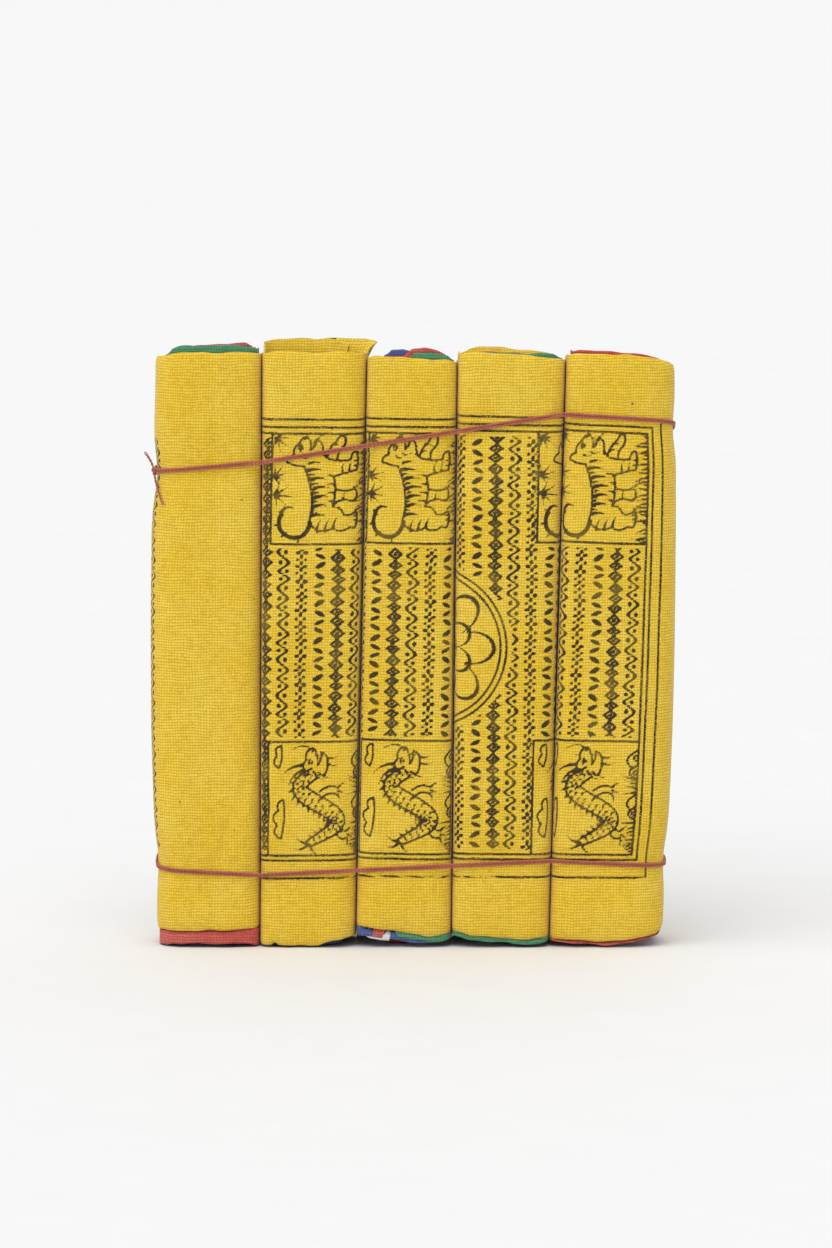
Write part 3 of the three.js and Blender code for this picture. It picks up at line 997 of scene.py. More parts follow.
@dataclass
class WoundRoll:
    """One roll: five flags wound together flat, with the yellow one as the wrap.

    The fill, the ramp, the lap and the spans say how the flags are wound, the steps how fine their nets are,
    and the other sizes how their edges lie, in millimetres.
    """

    sizes: RollSizes
    creases: CreaseSizes = CreaseSizes()
    fill: float = 0.95
    ramp: float = 0.09
    lap: float = 1.07
    lap_overlap: float = 0.01
    most_turns: int = 4
    second_turn: Pair = (1.0, 1.2)
    core_turn: Pair = (1.5, 2.3)
    first_turn: Pair = (0.85, 1.0)
    core_gap: float = 0.5
    least_reach: float = 0.3
    highest_share: float = 1.02
    bow_ends: Pair = (56.0, 70.0)
    seam_span: Pair = (0.8, 0.99)

    wrap_step: float = 0.5
    back_step: float = 0.7
    side_step: float = 1.3
    side_band: float = 0.3
    margin_step: float = 0.9
    inner_step: float = 0.95
    edge_step: float = 0.3
    plain_foot: int = 4
    foot_rows: tuple[float, ...] = (0.0, 0.7, 1.6, 2.6, 3.6, 4.8, 6.5, 8.5, 16.0, 40.0)
    head_rows: tuple[float, ...] = (0.0, 0.7, 1.6, 3.2, 6.5, 16.0, 40.0)
    printed: Pair = (18.0, 157.0)

    hem: float = 5.5
    edge_turns: float = 0.03
    flutter: float = 0.4
    least_flutter: float = -0.3
    flutter_reach: float = 4.0
    rim: float = 0.45
    rim_reach: float = 0.9
    sink: float = 0.2
    seam_dip: float = 0.5
    seam_calm: float = 0.85
    ear_height: float = 171.6
    ear_span: Pair = (0.55, 1.0)
    back_low: float = 0.8
    lean_depth: float = 0.95
    lean_span: Pair = (-1.4, 0.3)
    flare_clearance: float = 0.18
    flare_span: Pair = (0.3, -1.2)
    flare_hold: float = 1.4
    flare_depth: Pair = (0.3, 0.12)
    flare_seam: float = 0.93
    set_back_heights: Pair = (40.0, 12.0)
    second_low: float = 3.4
    wrap_lift: float = 3.6
    low_step: float = 0.1
    top_step: float = 0.2
    top_waves: float = 0.22
    low_waves: float = 0.18

    core: float = field(init=False)
    pitch: float = field(init=False)
    block_print: BlockPrint = field(init=False)
    ends: dict[Leaf, float] = field(default_factory=dict)
    arcs: dict[Leaf, tuple[Array, Array]] = field(default_factory=dict)
    pieces: dict[Leaf, bpy.types.Object] = field(default_factory=dict)

    def __post_init__(self) -> None:
        """Work out how closely the flags are wound and where each one ends."""
        sizes = self.sizes
        widths = [sizes.foot[1] - sizes.foot[0], sizes.head[1] - sizes.head[0]]
        self.core = min(min(widths) / 2.0, HALF_DEPTH) - self.sink - self.core_gap
        turn = np.linspace(0.0, FULL_TURN, 721)
        x, y, _ = self.place(turn, np.full_like(turn, HEAD_HEIGHT / 2.0), np.zeros_like(turn))
        area = abs(float(np.sum(x[:-1] * y[1:] - x[1:] * y[:-1]))) / 2.0
        self.pitch = self.fill * area / (len(Leaf) * FLAG_LENGTH)
        self.block_print = BlockPrint(sizes.margin, sizes.lean, sizes.tilt, sizes.seed, sizes.framed)
        for leaf in Leaf:
            self.measure(leaf)

    def measure(self, leaf: Leaf) -> None:
        """Find where a flag ends and how far along it each turn lies.

        Args:
            leaf: The flag.
        """
        start = self.sizes.starts[leaf.value]
        turns = np.linspace(start, start + self.most_turns, 4000)
        depth = self.depth(leaf, turns)
        middle = np.full_like(turns, HEAD_HEIGHT / 2.0)
        arc = arc_lengths(np.stack(self.place(self.angle(turns), middle, depth), axis=1))
        used_up = int(np.argmax(arc >= FLAG_LENGTH)) or len(arc)
        at_core = int(np.argmax(depth >= self.core)) or len(arc)
        last = min(used_up, at_core) - 1
        self.ends[leaf] = float(turns[last])
        self.arcs[leaf] = (turns[: last + 1], arc[: last + 1])

    def angle(self, turns: Array) -> Array:
        """Angle from the front at a number of turns from the wrap's loose edge."""
        return math.radians(self.sizes.loose_edge) - FULL_TURN * turns

    def depth(self, leaf: Leaf, turns: Array) -> Array:
        """Depth of a flag below the roll's face.

        Args:
            leaf: The flag.
            turns: Turns from the wrap's loose edge.

        Returns:
            The depths: one layer for each layer of cloth outside the flag there.
        """
        outside = np.zeros_like(turns)
        for other in Leaf:
            start, end = self.sizes.starts[other.value], self.ends.get(other, math.inf)
            for turn in range(0 if other.value < leaf.value else 1, self.most_turns):
                began = smooth(-self.ramp, 0.0, turns - turn - start)
                ended = smooth(-self.ramp, 0.0, turns - turn - end)
                outside = outside + began * (1.0 - ended)
        return self.pitch * outside

    def place(self, angle: Array, z: Array, depth: Array) -> tuple[Array, Array, Array]:
        """A point of the roll.

        Args:
            angle: Angles from the front towards the right.
            z: Heights.
            depth: Depths below the roll's face.

        Returns:
            The point's x, y and z.
        """
        share = np.clip(z / HEAD_HEIGHT, 0.0, self.highest_share)
        left, right = self.sizes.sides(share)
        belly = np.sin(math.pi * np.clip(share, 0.0, 1.0))
        x, y = self.plan(angle, np.clip(depth / self.core, 0.0, 1.0))
        middle, half = (left + right) / 2.0, (right - left) / 2.0
        free = 1.0 - pinch(middle + x * half, y * HALF_DEPTH, z)
        reach_x = half + np.where(x < 0.0, *self.sizes.bulge) * belly * free - depth
        reach_y = HALF_DEPTH + self.sizes.swell * free * np.sqrt(belly) - depth
        x = middle + x * np.maximum(reach_x, self.least_reach)
        y = y * np.maximum(reach_y, self.least_reach)
        bow = SEAM_BOW * np.maximum(1.0 - (y / HALF_DEPTH) ** 2, 0.0) * (1.0 - smooth(*self.bow_ends, np.abs(x)))
        return x + bow, y, z

    def plan(self, angle: Array, inward: Union[Array, float] = 0.0) -> tuple[Array, Array]:
        """A point on the roll's unit outline, squarer where it meets a neighbour.

        Args:
            angle: Angles from the front towards the right.
            inward: Share of the way from the roll's face to its core.

        Returns:
            The point's x and y.
        """
        face = np.where(np.sin(angle) < 0.0, *self.sizes.square)
        return outline(angle, blend(face, CORE_SIDE, inward))

    def touching(self, angle: Array) -> Array:
        """How closely a place lies against a neighbouring roll, from 0 to 1."""
        seam = np.where(np.sin(angle) < 0.0, *self.sizes.square) > OPEN_SIDE
        return seam * smooth(*self.seam_span, np.abs(self.plan(angle)[0]))

    def across(self, angle: Array) -> Array:
        """Share of the roll's width at an angle, from 0 at its left to 1 at its right."""
        return (self.plan(angle)[0] + 1.0) / 2.0

    def wrap_heights(self, angle: Array) -> tuple[Array, Array, Array, Array]:
        """Heights of the wrap's edges at an angle.

        Args:
            angle: Angles from the front towards the right.

        Returns:
            The lower and the upper heights, how far behind the place is, and what the upper edge rises there.
        """
        share = self.across(angle)
        corner = np.where(share < 0.5, *self.sizes.corner) * np.abs(np.sin(angle)) ** 3
        behind = smooth(*self.sizes.turn_up, -np.cos(angle))
        low = np.interp(share, *zip(*self.sizes.low)) + corner
        low = blend(low, np.minimum(low, self.back_low), behind)
        top = np.interp(share, *zip(*self.sizes.top)) - corner - self.seam_dip * self.touching(angle)
        return low, top, behind, np.interp(share, *zip(*self.sizes.back)) * behind

    def heights(self, leaf: Leaf, turns: Array) -> tuple[Array, Array]:
        """Heights of a flag's lower and upper edges.

        Args:
            leaf: The flag.
            turns: Turns from the wrap's loose edge.

        Returns:
            The lower and the upper heights.
        """
        angle = self.angle(turns)
        low, top, behind, back = self.wrap_heights(angle)
        if leaf is Leaf.YELLOW:
            top = top + back
        else:
            edges = self.sizes.edges[leaf]
            share = self.across(angle)
            low = low - np.interp(share, *zip(*edges.foot))
            rise = np.interp(share, *zip(*edges.head)) * (1.0 - behind)
            top = top + rise + np.minimum(back, 0.0) - edges.back_fall * behind
        wound = turns - self.sizes.starts[leaf.value]
        inside = smooth(*self.second_turn, wound)
        core_low = blend(self.second_low, FLOOR_CLEARANCE, smooth(*self.core_turn, wound))
        core_low = core_low + (self.wrap_lift if leaf is Leaf.YELLOW else self.low_step * leaf.value)
        low = blend(low, core_low, inside)
        top = blend(top, self.sizes.core_top - self.top_step * leaf.value, inside)
        draw = np.random.default_rng(self.sizes.seed * 10 + leaf.value)
        top = top + self.waves(FULL_TURN * turns, draw, self.top_waves)
        low = low + self.waves(FULL_TURN * turns, draw, self.low_waves)
        return np.maximum(low, FLOOR_CLEARANCE + self.flare_clearance * (1.0 - inside)), top

    @staticmethod
    def waves(angle: Array, draw: np.random.Generator, size: float) -> Array:
        """A soft uneven line around the winding.

        Args:
            angle: Angles around the roll.
            draw: Source of the wave's phases.
            size: Height of the waves.

        Returns:
            The line's heights.
        """
        counts, usual_height = (3, 5, 8, 13), 2.4
        line = np.zeros_like(angle)
        for count in counts:
            line = line + np.sin(count * angle + draw.uniform(0.0, PHASES)) / usual_height
        return size * line

    def relief(self, angle: Array, arc: Array, z: Array) -> Array:
        """Depth of the wrap's soft creases.

        Args:
            angle: Angles from the front towards the right.
            arc: Places along the winding.
            z: Heights.

        Returns:
            How far the cloth is drawn in.
        """
        sizes = self.creases
        draw = np.random.default_rng(self.sizes.seed + 5)
        hollow = np.zeros(np.broadcast(angle, z).shape)
        for _ in range(sizes.count):
            spot, height = draw.uniform(*sizes.along), draw.uniform(*sizes.up)
            tilt, length = draw.normal(0.0, sizes.tilt), draw.uniform(*sizes.length)
            width, size = draw.uniform(*sizes.width), draw.choice(sizes.depth) * draw.uniform(*sizes.depth_share)
            off = arc - spot - tilt * (z - height)
            hollow = hollow + size * np.exp(-((off / width) ** 2) - ((z - height) / length) ** 2)
        x, y = self.plan(angle)
        middle, half = (self.sizes.foot[0] + self.sizes.foot[1]) / 2.0, 15.0
        for tie in TIES:
            away = np.abs(z - tie.height(middle + half * x, y * HALF_DEPTH))
            phase = draw.uniform(0.0, PHASES)
            gathers = np.sin(sizes.gather_waves[0] * arc + phase)
            gathers = gathers + sizes.gather_second * np.sin(sizes.gather_waves[1] * arc + 2.0 * phase)
            near = np.exp(-away / sizes.gather_reach)
            hollow = hollow + sizes.gather_depth * (gathers + 1.0) * near * smooth(*sizes.gather_clear, away)
        return hollow

    def wrap_columns(self) -> Array:
        """Turns of the wrap's columns, close together where the print shows.

        Returns:
            The turns, from inside the lap to the loose edge.
        """
        turns = np.linspace(0.0, self.lap, 3000)
        arc = np.interp(turns, *self.arcs[Leaf.YELLOW])
        x, y = self.plan(self.angle(turns))
        step = np.where(y > self.side_band, self.back_step, self.side_step)
        step = np.where(y < -self.side_band, self.wrap_step, step)
        shown = (x < 0) if self.sizes is ROLLS[0] else (x > 0) & (self.sizes is ROLLS[-1])
        step = np.where(shown & (np.abs(y) <= self.side_band), self.wrap_step, step)
        count = np.concatenate([[0.0], np.cumsum(np.diff(arc) / step[1:])])
        return np.interp(np.linspace(0.0, count[-1], int(count[-1]) + 1), count, turns)[::-1]

    def wrap_patch(self) -> ClothPatch:
        """The net of the wrap's outer turn, with its edges turned in to the cloth's thickness.

        Returns:
            The net with its print.
        """
        low, high = self.printed
        lower = np.arange(0.0, low, self.margin_step)
        printed = np.linspace(low, high, int((high - low) / self.wrap_step))
        upper = np.arange(high + self.margin_step, FLAG_WIDTH, self.margin_step)
        shares = np.concatenate([lower, printed, upper, [FLAG_WIDTH]]) / FLAG_WIDTH
        hem = self.hem / FLAG_WIDTH
        shares = np.concatenate([[hem, 0.0], shares, [1.0, 1.0 - hem]])
        tuck = np.zeros_like(shares)
        tuck[[0, 1, -2, -1]] = CLOTH_THICKNESS
        turns = self.wrap_columns()
        turns = np.concatenate([turns, [turns[-1], turns[-1] + self.edge_turns]])
        side_tuck = np.zeros_like(turns)
        side_tuck[-2:] = CLOTH_THICKNESS
        return self.patch(Leaf.YELLOW, turns, shares, np.maximum(tuck[:, None], side_tuck[None, :]), True)

    def patch(self, leaf: Leaf, turns: Array, shares: Array, tuck: Array, shown: bool) -> ClothPatch:
        """A net of part of a flag.

        Args:
            leaf: The flag.
            turns: Turns of the net's columns, from the inside outwards.
            shares: Shares of the flag's width of the net's rows.
            tuck: Extra depth of the net's points.
            shown: Whether the net is the outer face, with creases.

        Returns:
            The net.
        """
        low, top = self.heights(leaf, turns)
        z = low[None, :] + (top - low)[None, :] * shares[:, None]
        angle = np.broadcast_to(self.angle(turns)[None, :], z.shape)
        arc = np.broadcast_to(np.interp(turns, *self.arcs[leaf])[None, :], z.shape)
        draw = np.random.default_rng(self.sizes.seed + 7)
        free = 1.0 - self.seam_calm * self.touching(angle)
        ends, rim = (
            np.exp(-np.abs(z - low) / reach) + np.exp(-np.abs(top - z) / reach)
            for reach in (self.flutter_reach, self.rim_reach)
        )
        sway = free * np.maximum(self.waves(angle, draw, self.flutter), self.least_flutter) * ends
        depth = self.depth(leaf, turns)[None, :] + tuck + sway
        if shown:
            creases = np.clip(self.relief(angle, arc, z), *self.creases.depth)
            depth = depth + self.rim * free * rim + free * creases
        elif leaf is Leaf.YELLOW:
            depth = depth + self.sink
        else:
            depth = self.under_wrap(leaf, turns, z, depth, sway)
        points = np.stack(self.place(angle, z, depth), axis=-1)
        over = np.maximum(z - self.ear_height, 0.0) * smooth(*self.ear_span, self.across(angle))
        points[..., 0] += self.sizes.ear * over * self.wrap_heights(angle[0])[2]
        ink = self.block_print.distance(arc, z) if leaf is Leaf.YELLOW else None
        return ClothPatch(points, np.stack([arc, z], axis=-1), ink)

    def under_wrap(self, leaf: Leaf, turns: Array, z: Array, depth: Array, sway: Array) -> Array:
        """Depth of a flag inside the wrap, whose ends may come out beyond the wrap's edges.

        Args:
            leaf: The flag.
            turns: Turns of its net's columns.
            z: Heights of the net's points.
            depth: Their depths as wound.
            sway: How far they flutter.

        Returns:
            The depths.
        """
        edges = self.sizes.edges[leaf]
        angle = np.broadcast_to(self.angle(turns)[None, :], z.shape)
        wrap_low, wrap_top = self.wrap_heights(angle[0])[:2]
        first = 1.0 - smooth(*self.first_turn, turns - self.sizes.starts[leaf.value])
        close = self.touching(angle)
        flare = edges.flare * first * smooth(*self.flare_span, z - wrap_low - self.flare_hold * close)
        set_back = edges.set_back * smooth(*self.set_back_heights, z) * first
        spread = self.flare_depth[0] + self.flare_depth[1] * (leaf.value + set_back)
        spread = spread * (1.0 - self.flare_seam * close) + sway
        depth = blend(depth + self.sink + self.pitch * set_back, spread, flare)
        lean = edges.lean * first * smooth(*self.lean_span, z - wrap_top)
        return blend(depth, self.lean_depth, lean)

    def inner_patch(self, leaf: Leaf, start: float) -> ClothPatch:
        """The coarser net of a flag's inner turns, with finer columns where its foot is cut in steps.

        Args:
            leaf: The flag.
            start: Turns from the wrap's loose edge where the net starts.

        Returns:
            The net.
        """
        arc = np.interp([start, self.ends[leaf]], *self.arcs[leaf])
        count = int((arc[1] - arc[0]) / self.inner_step)
        columns = np.linspace(arc[1], arc[0], count)
        if leaf is not Leaf.YELLOW and len(self.sizes.edges[leaf].foot) > self.plain_foot:
            first = start + np.linspace(0.0, 1.0, 361)
            front = np.interp(first[np.cos(self.angle(first)) > 0.5], *self.arcs[leaf])
            columns = np.unique(np.concatenate([columns, np.arange(front[0], front[-1], self.edge_step)]))[::-1]
        turns = np.interp(columns, self.arcs[leaf][1], self.arcs[leaf][0])
        upper = FLAG_WIDTH - np.array(self.head_rows)[::-1]
        shares = np.concatenate([np.array(self.foot_rows), upper]) / FLAG_WIDTH
        return self.patch(leaf, turns, shares, np.zeros((1, 1)), False)

    def build(self) -> None:
        """Make the five flags of the roll."""
        for leaf in Leaf:
            name = f"{self.sizes.name}_{leaf.word}"
            if leaf is Leaf.YELLOW:
                patches = [self.wrap_patch(), self.inner_patch(leaf, self.lap - self.lap_overlap)]
                self.pieces[leaf] = cloth_object(name, patches)
                continue
            sheet = cloth_object(name, [self.inner_patch(leaf, self.sizes.starts[leaf.value])])
            wall = sheet.modifiers.new("thickness", "SOLIDIFY")
            wall.thickness = CLOTH_THICKNESS * MM
            wall.offset = -1.0
            self.pieces[leaf] = sheet

    def dress(self, finishes: dict[Leaf, bpy.types.Material]) -> None:
        """Args:
            finishes: The cloth of each flag.
        """
        for leaf, sheet in self.pieces.items():
            sheet.data.materials.append(finishes[leaf])
            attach(sheet, "root")
            log.info("%s: %d faces", sheet.name, len(sheet.data.polygons))
        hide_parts(self.sizes.name)


def even_points(points: Array, spacing: float, soft: bool = False) -> Array:
    """Points spaced evenly along a line.

    Args:
        points: The line's corners.
        spacing: Distance between the new points.
        soft: Whether the corners are first rounded off.

    Returns:
        The new points.
    """
    if soft:
        share = np.linspace(0.0, 1.0, 40)
        keys = np.linspace(0.0, 1.0, len(points))
        fit = [np.polyfit(keys, points[:, i], len(points) - 1) for i in range(3)]
        points = np.stack([np.polyval(f, share) for f in fit], axis=1)
    arc = arc_lengths(points)
    count = max(int(arc[-1] / spacing), 2)
    places = np.linspace(0.0, arc[-1], count + 1)
    return np.stack([np.interp(places, arc, points[:, i]) for i in range(3)], axis=1)


def line_frame(line: Array) -> tuple[Array, Array]:
    """Directions square to a line.

    Args:
        line: The line's points.

    Returns:
        Unit vectors outward and upward at each point, turning as little as they can.
    """
    steep = 0.8
    along = np.gradient(line, axis=0)
    along /= np.linalg.norm(along, axis=1, keepdims=True)
    upward = np.zeros_like(line)
    seed = np.array([0.0, 0.0, 1.0]) if abs(along[0][2]) < steep else np.array([0.0, 1.0, 0.0])
    for index, tangent in enumerate(along):
        seed = seed - tangent * (seed @ tangent)
        seed = seed / np.linalg.norm(seed)
        upward[index] = seed
    return np.cross(along, upward), upward


@dataclass
class ThreadTie:
    """A red thread laid double round the bundle, with its knot and the ends that show.

    The lift is the thread's distance from the cloth. The two sways are the size and the length of the waves in
    which the strands roll over each other.
    """

    sizes: TieSizes
    strand: float = 0.37
    lift: float = 0.42
    ply_radius: float = 0.215
    ply_offset: float = 0.165
    twist: float = 2.3
    spacing: float = 0.3
    sides: int = 6
    sway: Pair = (0.35, 17.0)
    second_sway: Pair = (0.3, 7.3)
    roll_over: float = 0.35
    knot_lift: float = 1.05
    knot_size: Point = (0.42, 0.4, 0.46)
    knot_spacing: float = 0.15
    fray: float = 1.6
    fray_length: float = 1.6
    fray_points: int = 7
    fray_end: float = 0.45
    piece: Optional[bpy.types.Object] = None

    def around(self, roll: RollSizes, degrees: Array, distance: float) -> Array:
        """Points of the route round an outermost roll.

        Args:
            roll: The roll.
            degrees: Angles from the front towards the right.
            distance: Distance of the route from the cloth.

        Returns:
            The points.
        """
        x, y = outline(np.radians(degrees), OPEN_SIDE)
        side = roll.foot[0] if roll is ROLLS[0] else roll.foot[1]
        share = self.sizes.height(np.full_like(x, side), y * HALF_DEPTH) / HEAD_HEIGHT
        left, right = roll.sides(share)
        half = (right - left) / 2.0
        spot = np.stack([(left + right) / 2.0 + x * half, y * HALF_DEPTH], axis=1)
        normal = np.stack([np.sign(x) * np.abs(x) ** 3 / half, np.sign(y) * np.abs(y) ** 3 / HALF_DEPTH], axis=1)
        normal /= np.linalg.norm(normal, axis=1, keepdims=True)
        height = self.sizes.height(spot[:, 0], spot[:, 1])
        spot = spot + distance * normal
        return np.concatenate([spot, height[:, None]], axis=1)

    def route(self) -> Array:
        """The middle line of the doubled thread, from its knot round the bundle and back.

        Returns:
            Evenly spaced points.
        """
        knot = self.sizes.knot_angle
        front_left, right, back_left = (knot, 359.9, 80), (0.1, 179.9, 120), (180.1, knot, 80)
        seams = [self.sizes.front_places()[1:3], np.full(2, -HALF_DEPTH - self.lift), self.sizes.front[1:3]]
        points = np.concatenate([
            self.around(ROLLS[0], np.linspace(*front_left), self.lift),
            np.stack(seams, axis=1),
            self.around(ROLLS[-1], np.linspace(*right), self.lift),
            self.around(ROLLS[0], np.linspace(*back_left), self.lift),
        ])
        return even_points(points, self.spacing)

    def strands(self) -> list[Array]:
        """The middle lines of the two strands that lie side by side.

        Returns:
            The lines.
        """
        route = self.route()
        outward, upward = line_frame(route)
        arc = np.arange(len(route)) * self.spacing
        lean = self.sway[0] * np.sin(arc / self.sway[1])
        lean = lean + self.second_sway[0] * np.sin(arc / self.second_sway[1] + 1.0)
        across = np.cos(lean)[:, None] * upward + self.roll_over * np.sin(lean)[:, None] * outward
        return [route + side * self.strand * across for side in (-1.0, 1.0)]

    def knot_lines(self) -> list[Array]:
        """The thread of the knot and of the loose ends.

        Returns:
            Their middle lines.
        """
        centre = self.around(ROLLS[0], np.array([self.sizes.knot_angle]), self.knot_lift)[0]
        foot = self.around(ROLLS[0], np.array([self.sizes.knot_angle]), 0.0)[0]
        outward = (centre - foot) / np.linalg.norm(centre - foot)
        forward = np.array([-outward[1], outward[0], 0.0])
        upward = np.array([0.0, 0.0, 1.0])

        def spot(out: float, front: float, up: float) -> Array:
            """A point near the knot, in its own directions."""
            return centre + out * outward + front * forward + up * upward

        turn = np.linspace(0.0, FULL_TURN, 90)
        loop = np.stack([-np.sin(3.0 * turn), np.sin(turn) + 2.0 * np.sin(2.0 * turn),
                         np.cos(turn) - 2.0 * np.cos(2.0 * turn)], axis=1) * self.knot_size
        lines = [even_points(np.array([spot(*p) for p in loop]), self.knot_spacing)]
        for end in self.sizes.loose_ends:
            lines.append(even_points(np.array([spot(*p) for p in end]), self.knot_spacing, True))
        return lines

    def build(self) -> None:
        """Make the tie from twisted plies."""
        net = bmesh.new()
        for line in self.strands():
            self.lay_plies(net, line, False)
        for index, line in enumerate(self.knot_lines()):
            self.lay_plies(net, line, index > 0)
        bmesh.ops.remove_doubles(net, verts=net.verts, dist=1e-6)
        self.piece = mesh_object(self.sizes.name, net)

    def lay_plies(self, net: bmesh.types.BMesh, line: Array, loose: bool) -> None:
        """Add the two plies of one strand to the tie.

        Args:
            net: The tie so far.
            line: The strand's middle line.
            loose: Whether the strand's end frays open.
        """
        outward, upward = line_frame(line)
        arc = np.arange(len(line)) * np.linalg.norm(line[1] - line[0])
        spread = np.ones(len(line))
        radius = np.full(len(line), self.ply_radius)
        radius[0] = radius[-1] = 0.0
        if loose:
            spread = 1.0 + self.fray * smooth(-self.fray_length, 0.0, arc - arc[-1])
            radius[-1 - self.fray_points:-1] *= np.linspace(1.0, self.fray_end, self.fray_points)
        for ply in (0.0, math.pi):
            turn = FULL_TURN * arc / self.twist + ply
            way = np.cos(turn)[:, None] * upward + np.sin(turn)[:, None] * outward
            self.lay_tube(net, line + self.ply_offset * spread[:, None] * way, radius)

    def lay_tube(self, net: bmesh.types.BMesh, line: Array, radius: Array) -> None:
        """Add a round tube along a line, closed to a point at both ends.

        Args:
            net: The tie so far.
            line: The tube's middle line.
            radius: Its radius at each point.
        """
        outward, upward = line_frame(line)
        turn = np.linspace(0.0, FULL_TURN, self.sides + 1)
        ring = np.cos(turn)[None, :, None] * upward[:, None, :] + np.sin(turn)[None, :, None] * outward[:, None, :]
        points = (line[:, None, :] + radius[:, None, None] * ring) * MM
        made = bmesh.ops.create_grid(net, x_segments=self.sides, y_segments=len(line) - 1, size=1.0)
        for vertex, point in zip(made["verts"], points.reshape(-1, 3)):
            vertex.co = point

    def dress(self, finish: bpy.types.Material) -> None:
        """Give the tie its thread and its place.

        Args:
            finish: The thread's material.
        """
        self.piece.data.materials.append(finish)
        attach(self.piece, "root")
        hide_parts(self.sizes.node)
        log.info("%s: %d faces", self.piece.name, len(self.piece.data.polygons))


class NodeSketch:
    """Adds nodes to a material or a group and links them."""

    def __init__(self, tree: bpy.types.NodeTree) -> None:
        """Start on a node tree."""
        self.tree = tree

    def add(self, kind: str, **settings: object) -> bpy.types.Node:
        """Add a node.

        Args:
            kind: The node's type.
            **settings: Its properties.

        Returns:
            The node.
        """
        node = self.tree.nodes.new(kind)
        for name, value in settings.items():
            setattr(node, name, value)
        return node

    def feed(self, target: bpy.types.NodeSocket, source: Union[Socket, tuple]) -> None:
        """Link a socket to another, or set its value."""
        if isinstance(source, bpy.types.NodeSocket):
            self.tree.links.new(source, target)
        else:
            target.default_value = source

    def math(self, operation: str, *values: Socket) -> bpy.types.NodeSocket:
        """Add a sum.

        Args:
            operation: The Math node's operation.
            *values: Its inputs.

        Returns:
            The result.
        """
        node = self.add("ShaderNodeMath", operation=operation)
        for socket, value in zip(node.inputs, values):
            self.feed(socket, value)
        return node.outputs[0]

    def scaled(self, value: Socket, base: float, slope: float) -> bpy.types.NodeSocket:
        """Multiply a value by a slope and add it to a base."""
        return self.math("ADD", self.math("MULTIPLY", value, slope), base)

    def noise(self, vector: bpy.types.NodeSocket, scale: float, detail: float = 2.0) -> bpy.types.NodeSocket:
        """Add a soft noise.

        Args:
            vector: Where it is read.
            scale: Its fineness.
            detail: Its number of finer octaves.

        Returns:
            The noise, from 0 to 1.
        """
        node = self.add("ShaderNodeTexNoise")
        self.feed(node.inputs["Vector"], vector)
        self.feed(node.inputs["Scale"], scale)
        self.feed(node.inputs["Detail"], detail)
        return node.outputs["Fac"]

    def span(self, value: Socket, low: float, high: float, to_low: float, to_high: float) -> bpy.types.NodeSocket:
        """Ease a value from one span to another.

        Args:
            value: The value.
            low: Start of its span.
            high: End of its span.
            to_low: Result at the start.
            to_high: Result at the end.

        Returns:
            The result.
        """
        node = self.add("ShaderNodeMapRange", interpolation_type="SMOOTHSTEP")
        for socket, number in zip(node.inputs, (value, low, high, to_low, to_high)):
            self.feed(socket, number)
        return node.outputs[0]

    def mix(self, share: Socket, first: Union[Socket, tuple], second: Union[Socket, tuple]) -> bpy.types.NodeSocket:
        """Mix two colours.

        Args:
            share: Share of the second.
            first: The first colour.
            second: The second colour.

        Returns:
            The mixed colour.
        """
        node = self.add("ShaderNodeMix", data_type="RGBA", blend_type="MIX")
        self.feed(node.inputs[0], share)
        self.feed(node.inputs[6], first)
        self.feed(node.inputs[7], second)
        return node.outputs[2]

    def bump(self, height: bpy.types.NodeSocket, strength: float, depth: float) -> bpy.types.NodeSocket:
        """Add a bump.

        Args:
            height: The surface's height.
            strength: How strongly it shows.
            depth: Its depth in millimetres.

        Returns:
            The normal.
        """
        node = self.add("ShaderNodeBump")
        node.inputs["Strength"].default_value = strength
        node.inputs["Distance"].default_value = depth * MM
        self.feed(node.inputs["Height"], height)
        return node.outputs[0]


def shaded_material(name: str) -> tuple[bpy.types.Material, NodeSketch, bpy.types.Node]:
    """Start a material.

    Args:
        name: Its name.

    Returns:
        The material, its nodes and its shader.
    """
    material = bpy.data.materials.new(name)
    material.use_nodes = True
    material.node_tree.nodes.clear()
    sketch = NodeSketch(material.node_tree)
    shader = sketch.add("ShaderNodeBsdfPrincipled")
    output = sketch.add("ShaderNodeOutputMaterial")
    sketch.feed(output.inputs["Surface"], shader.outputs[0])
    return material, sketch, shader


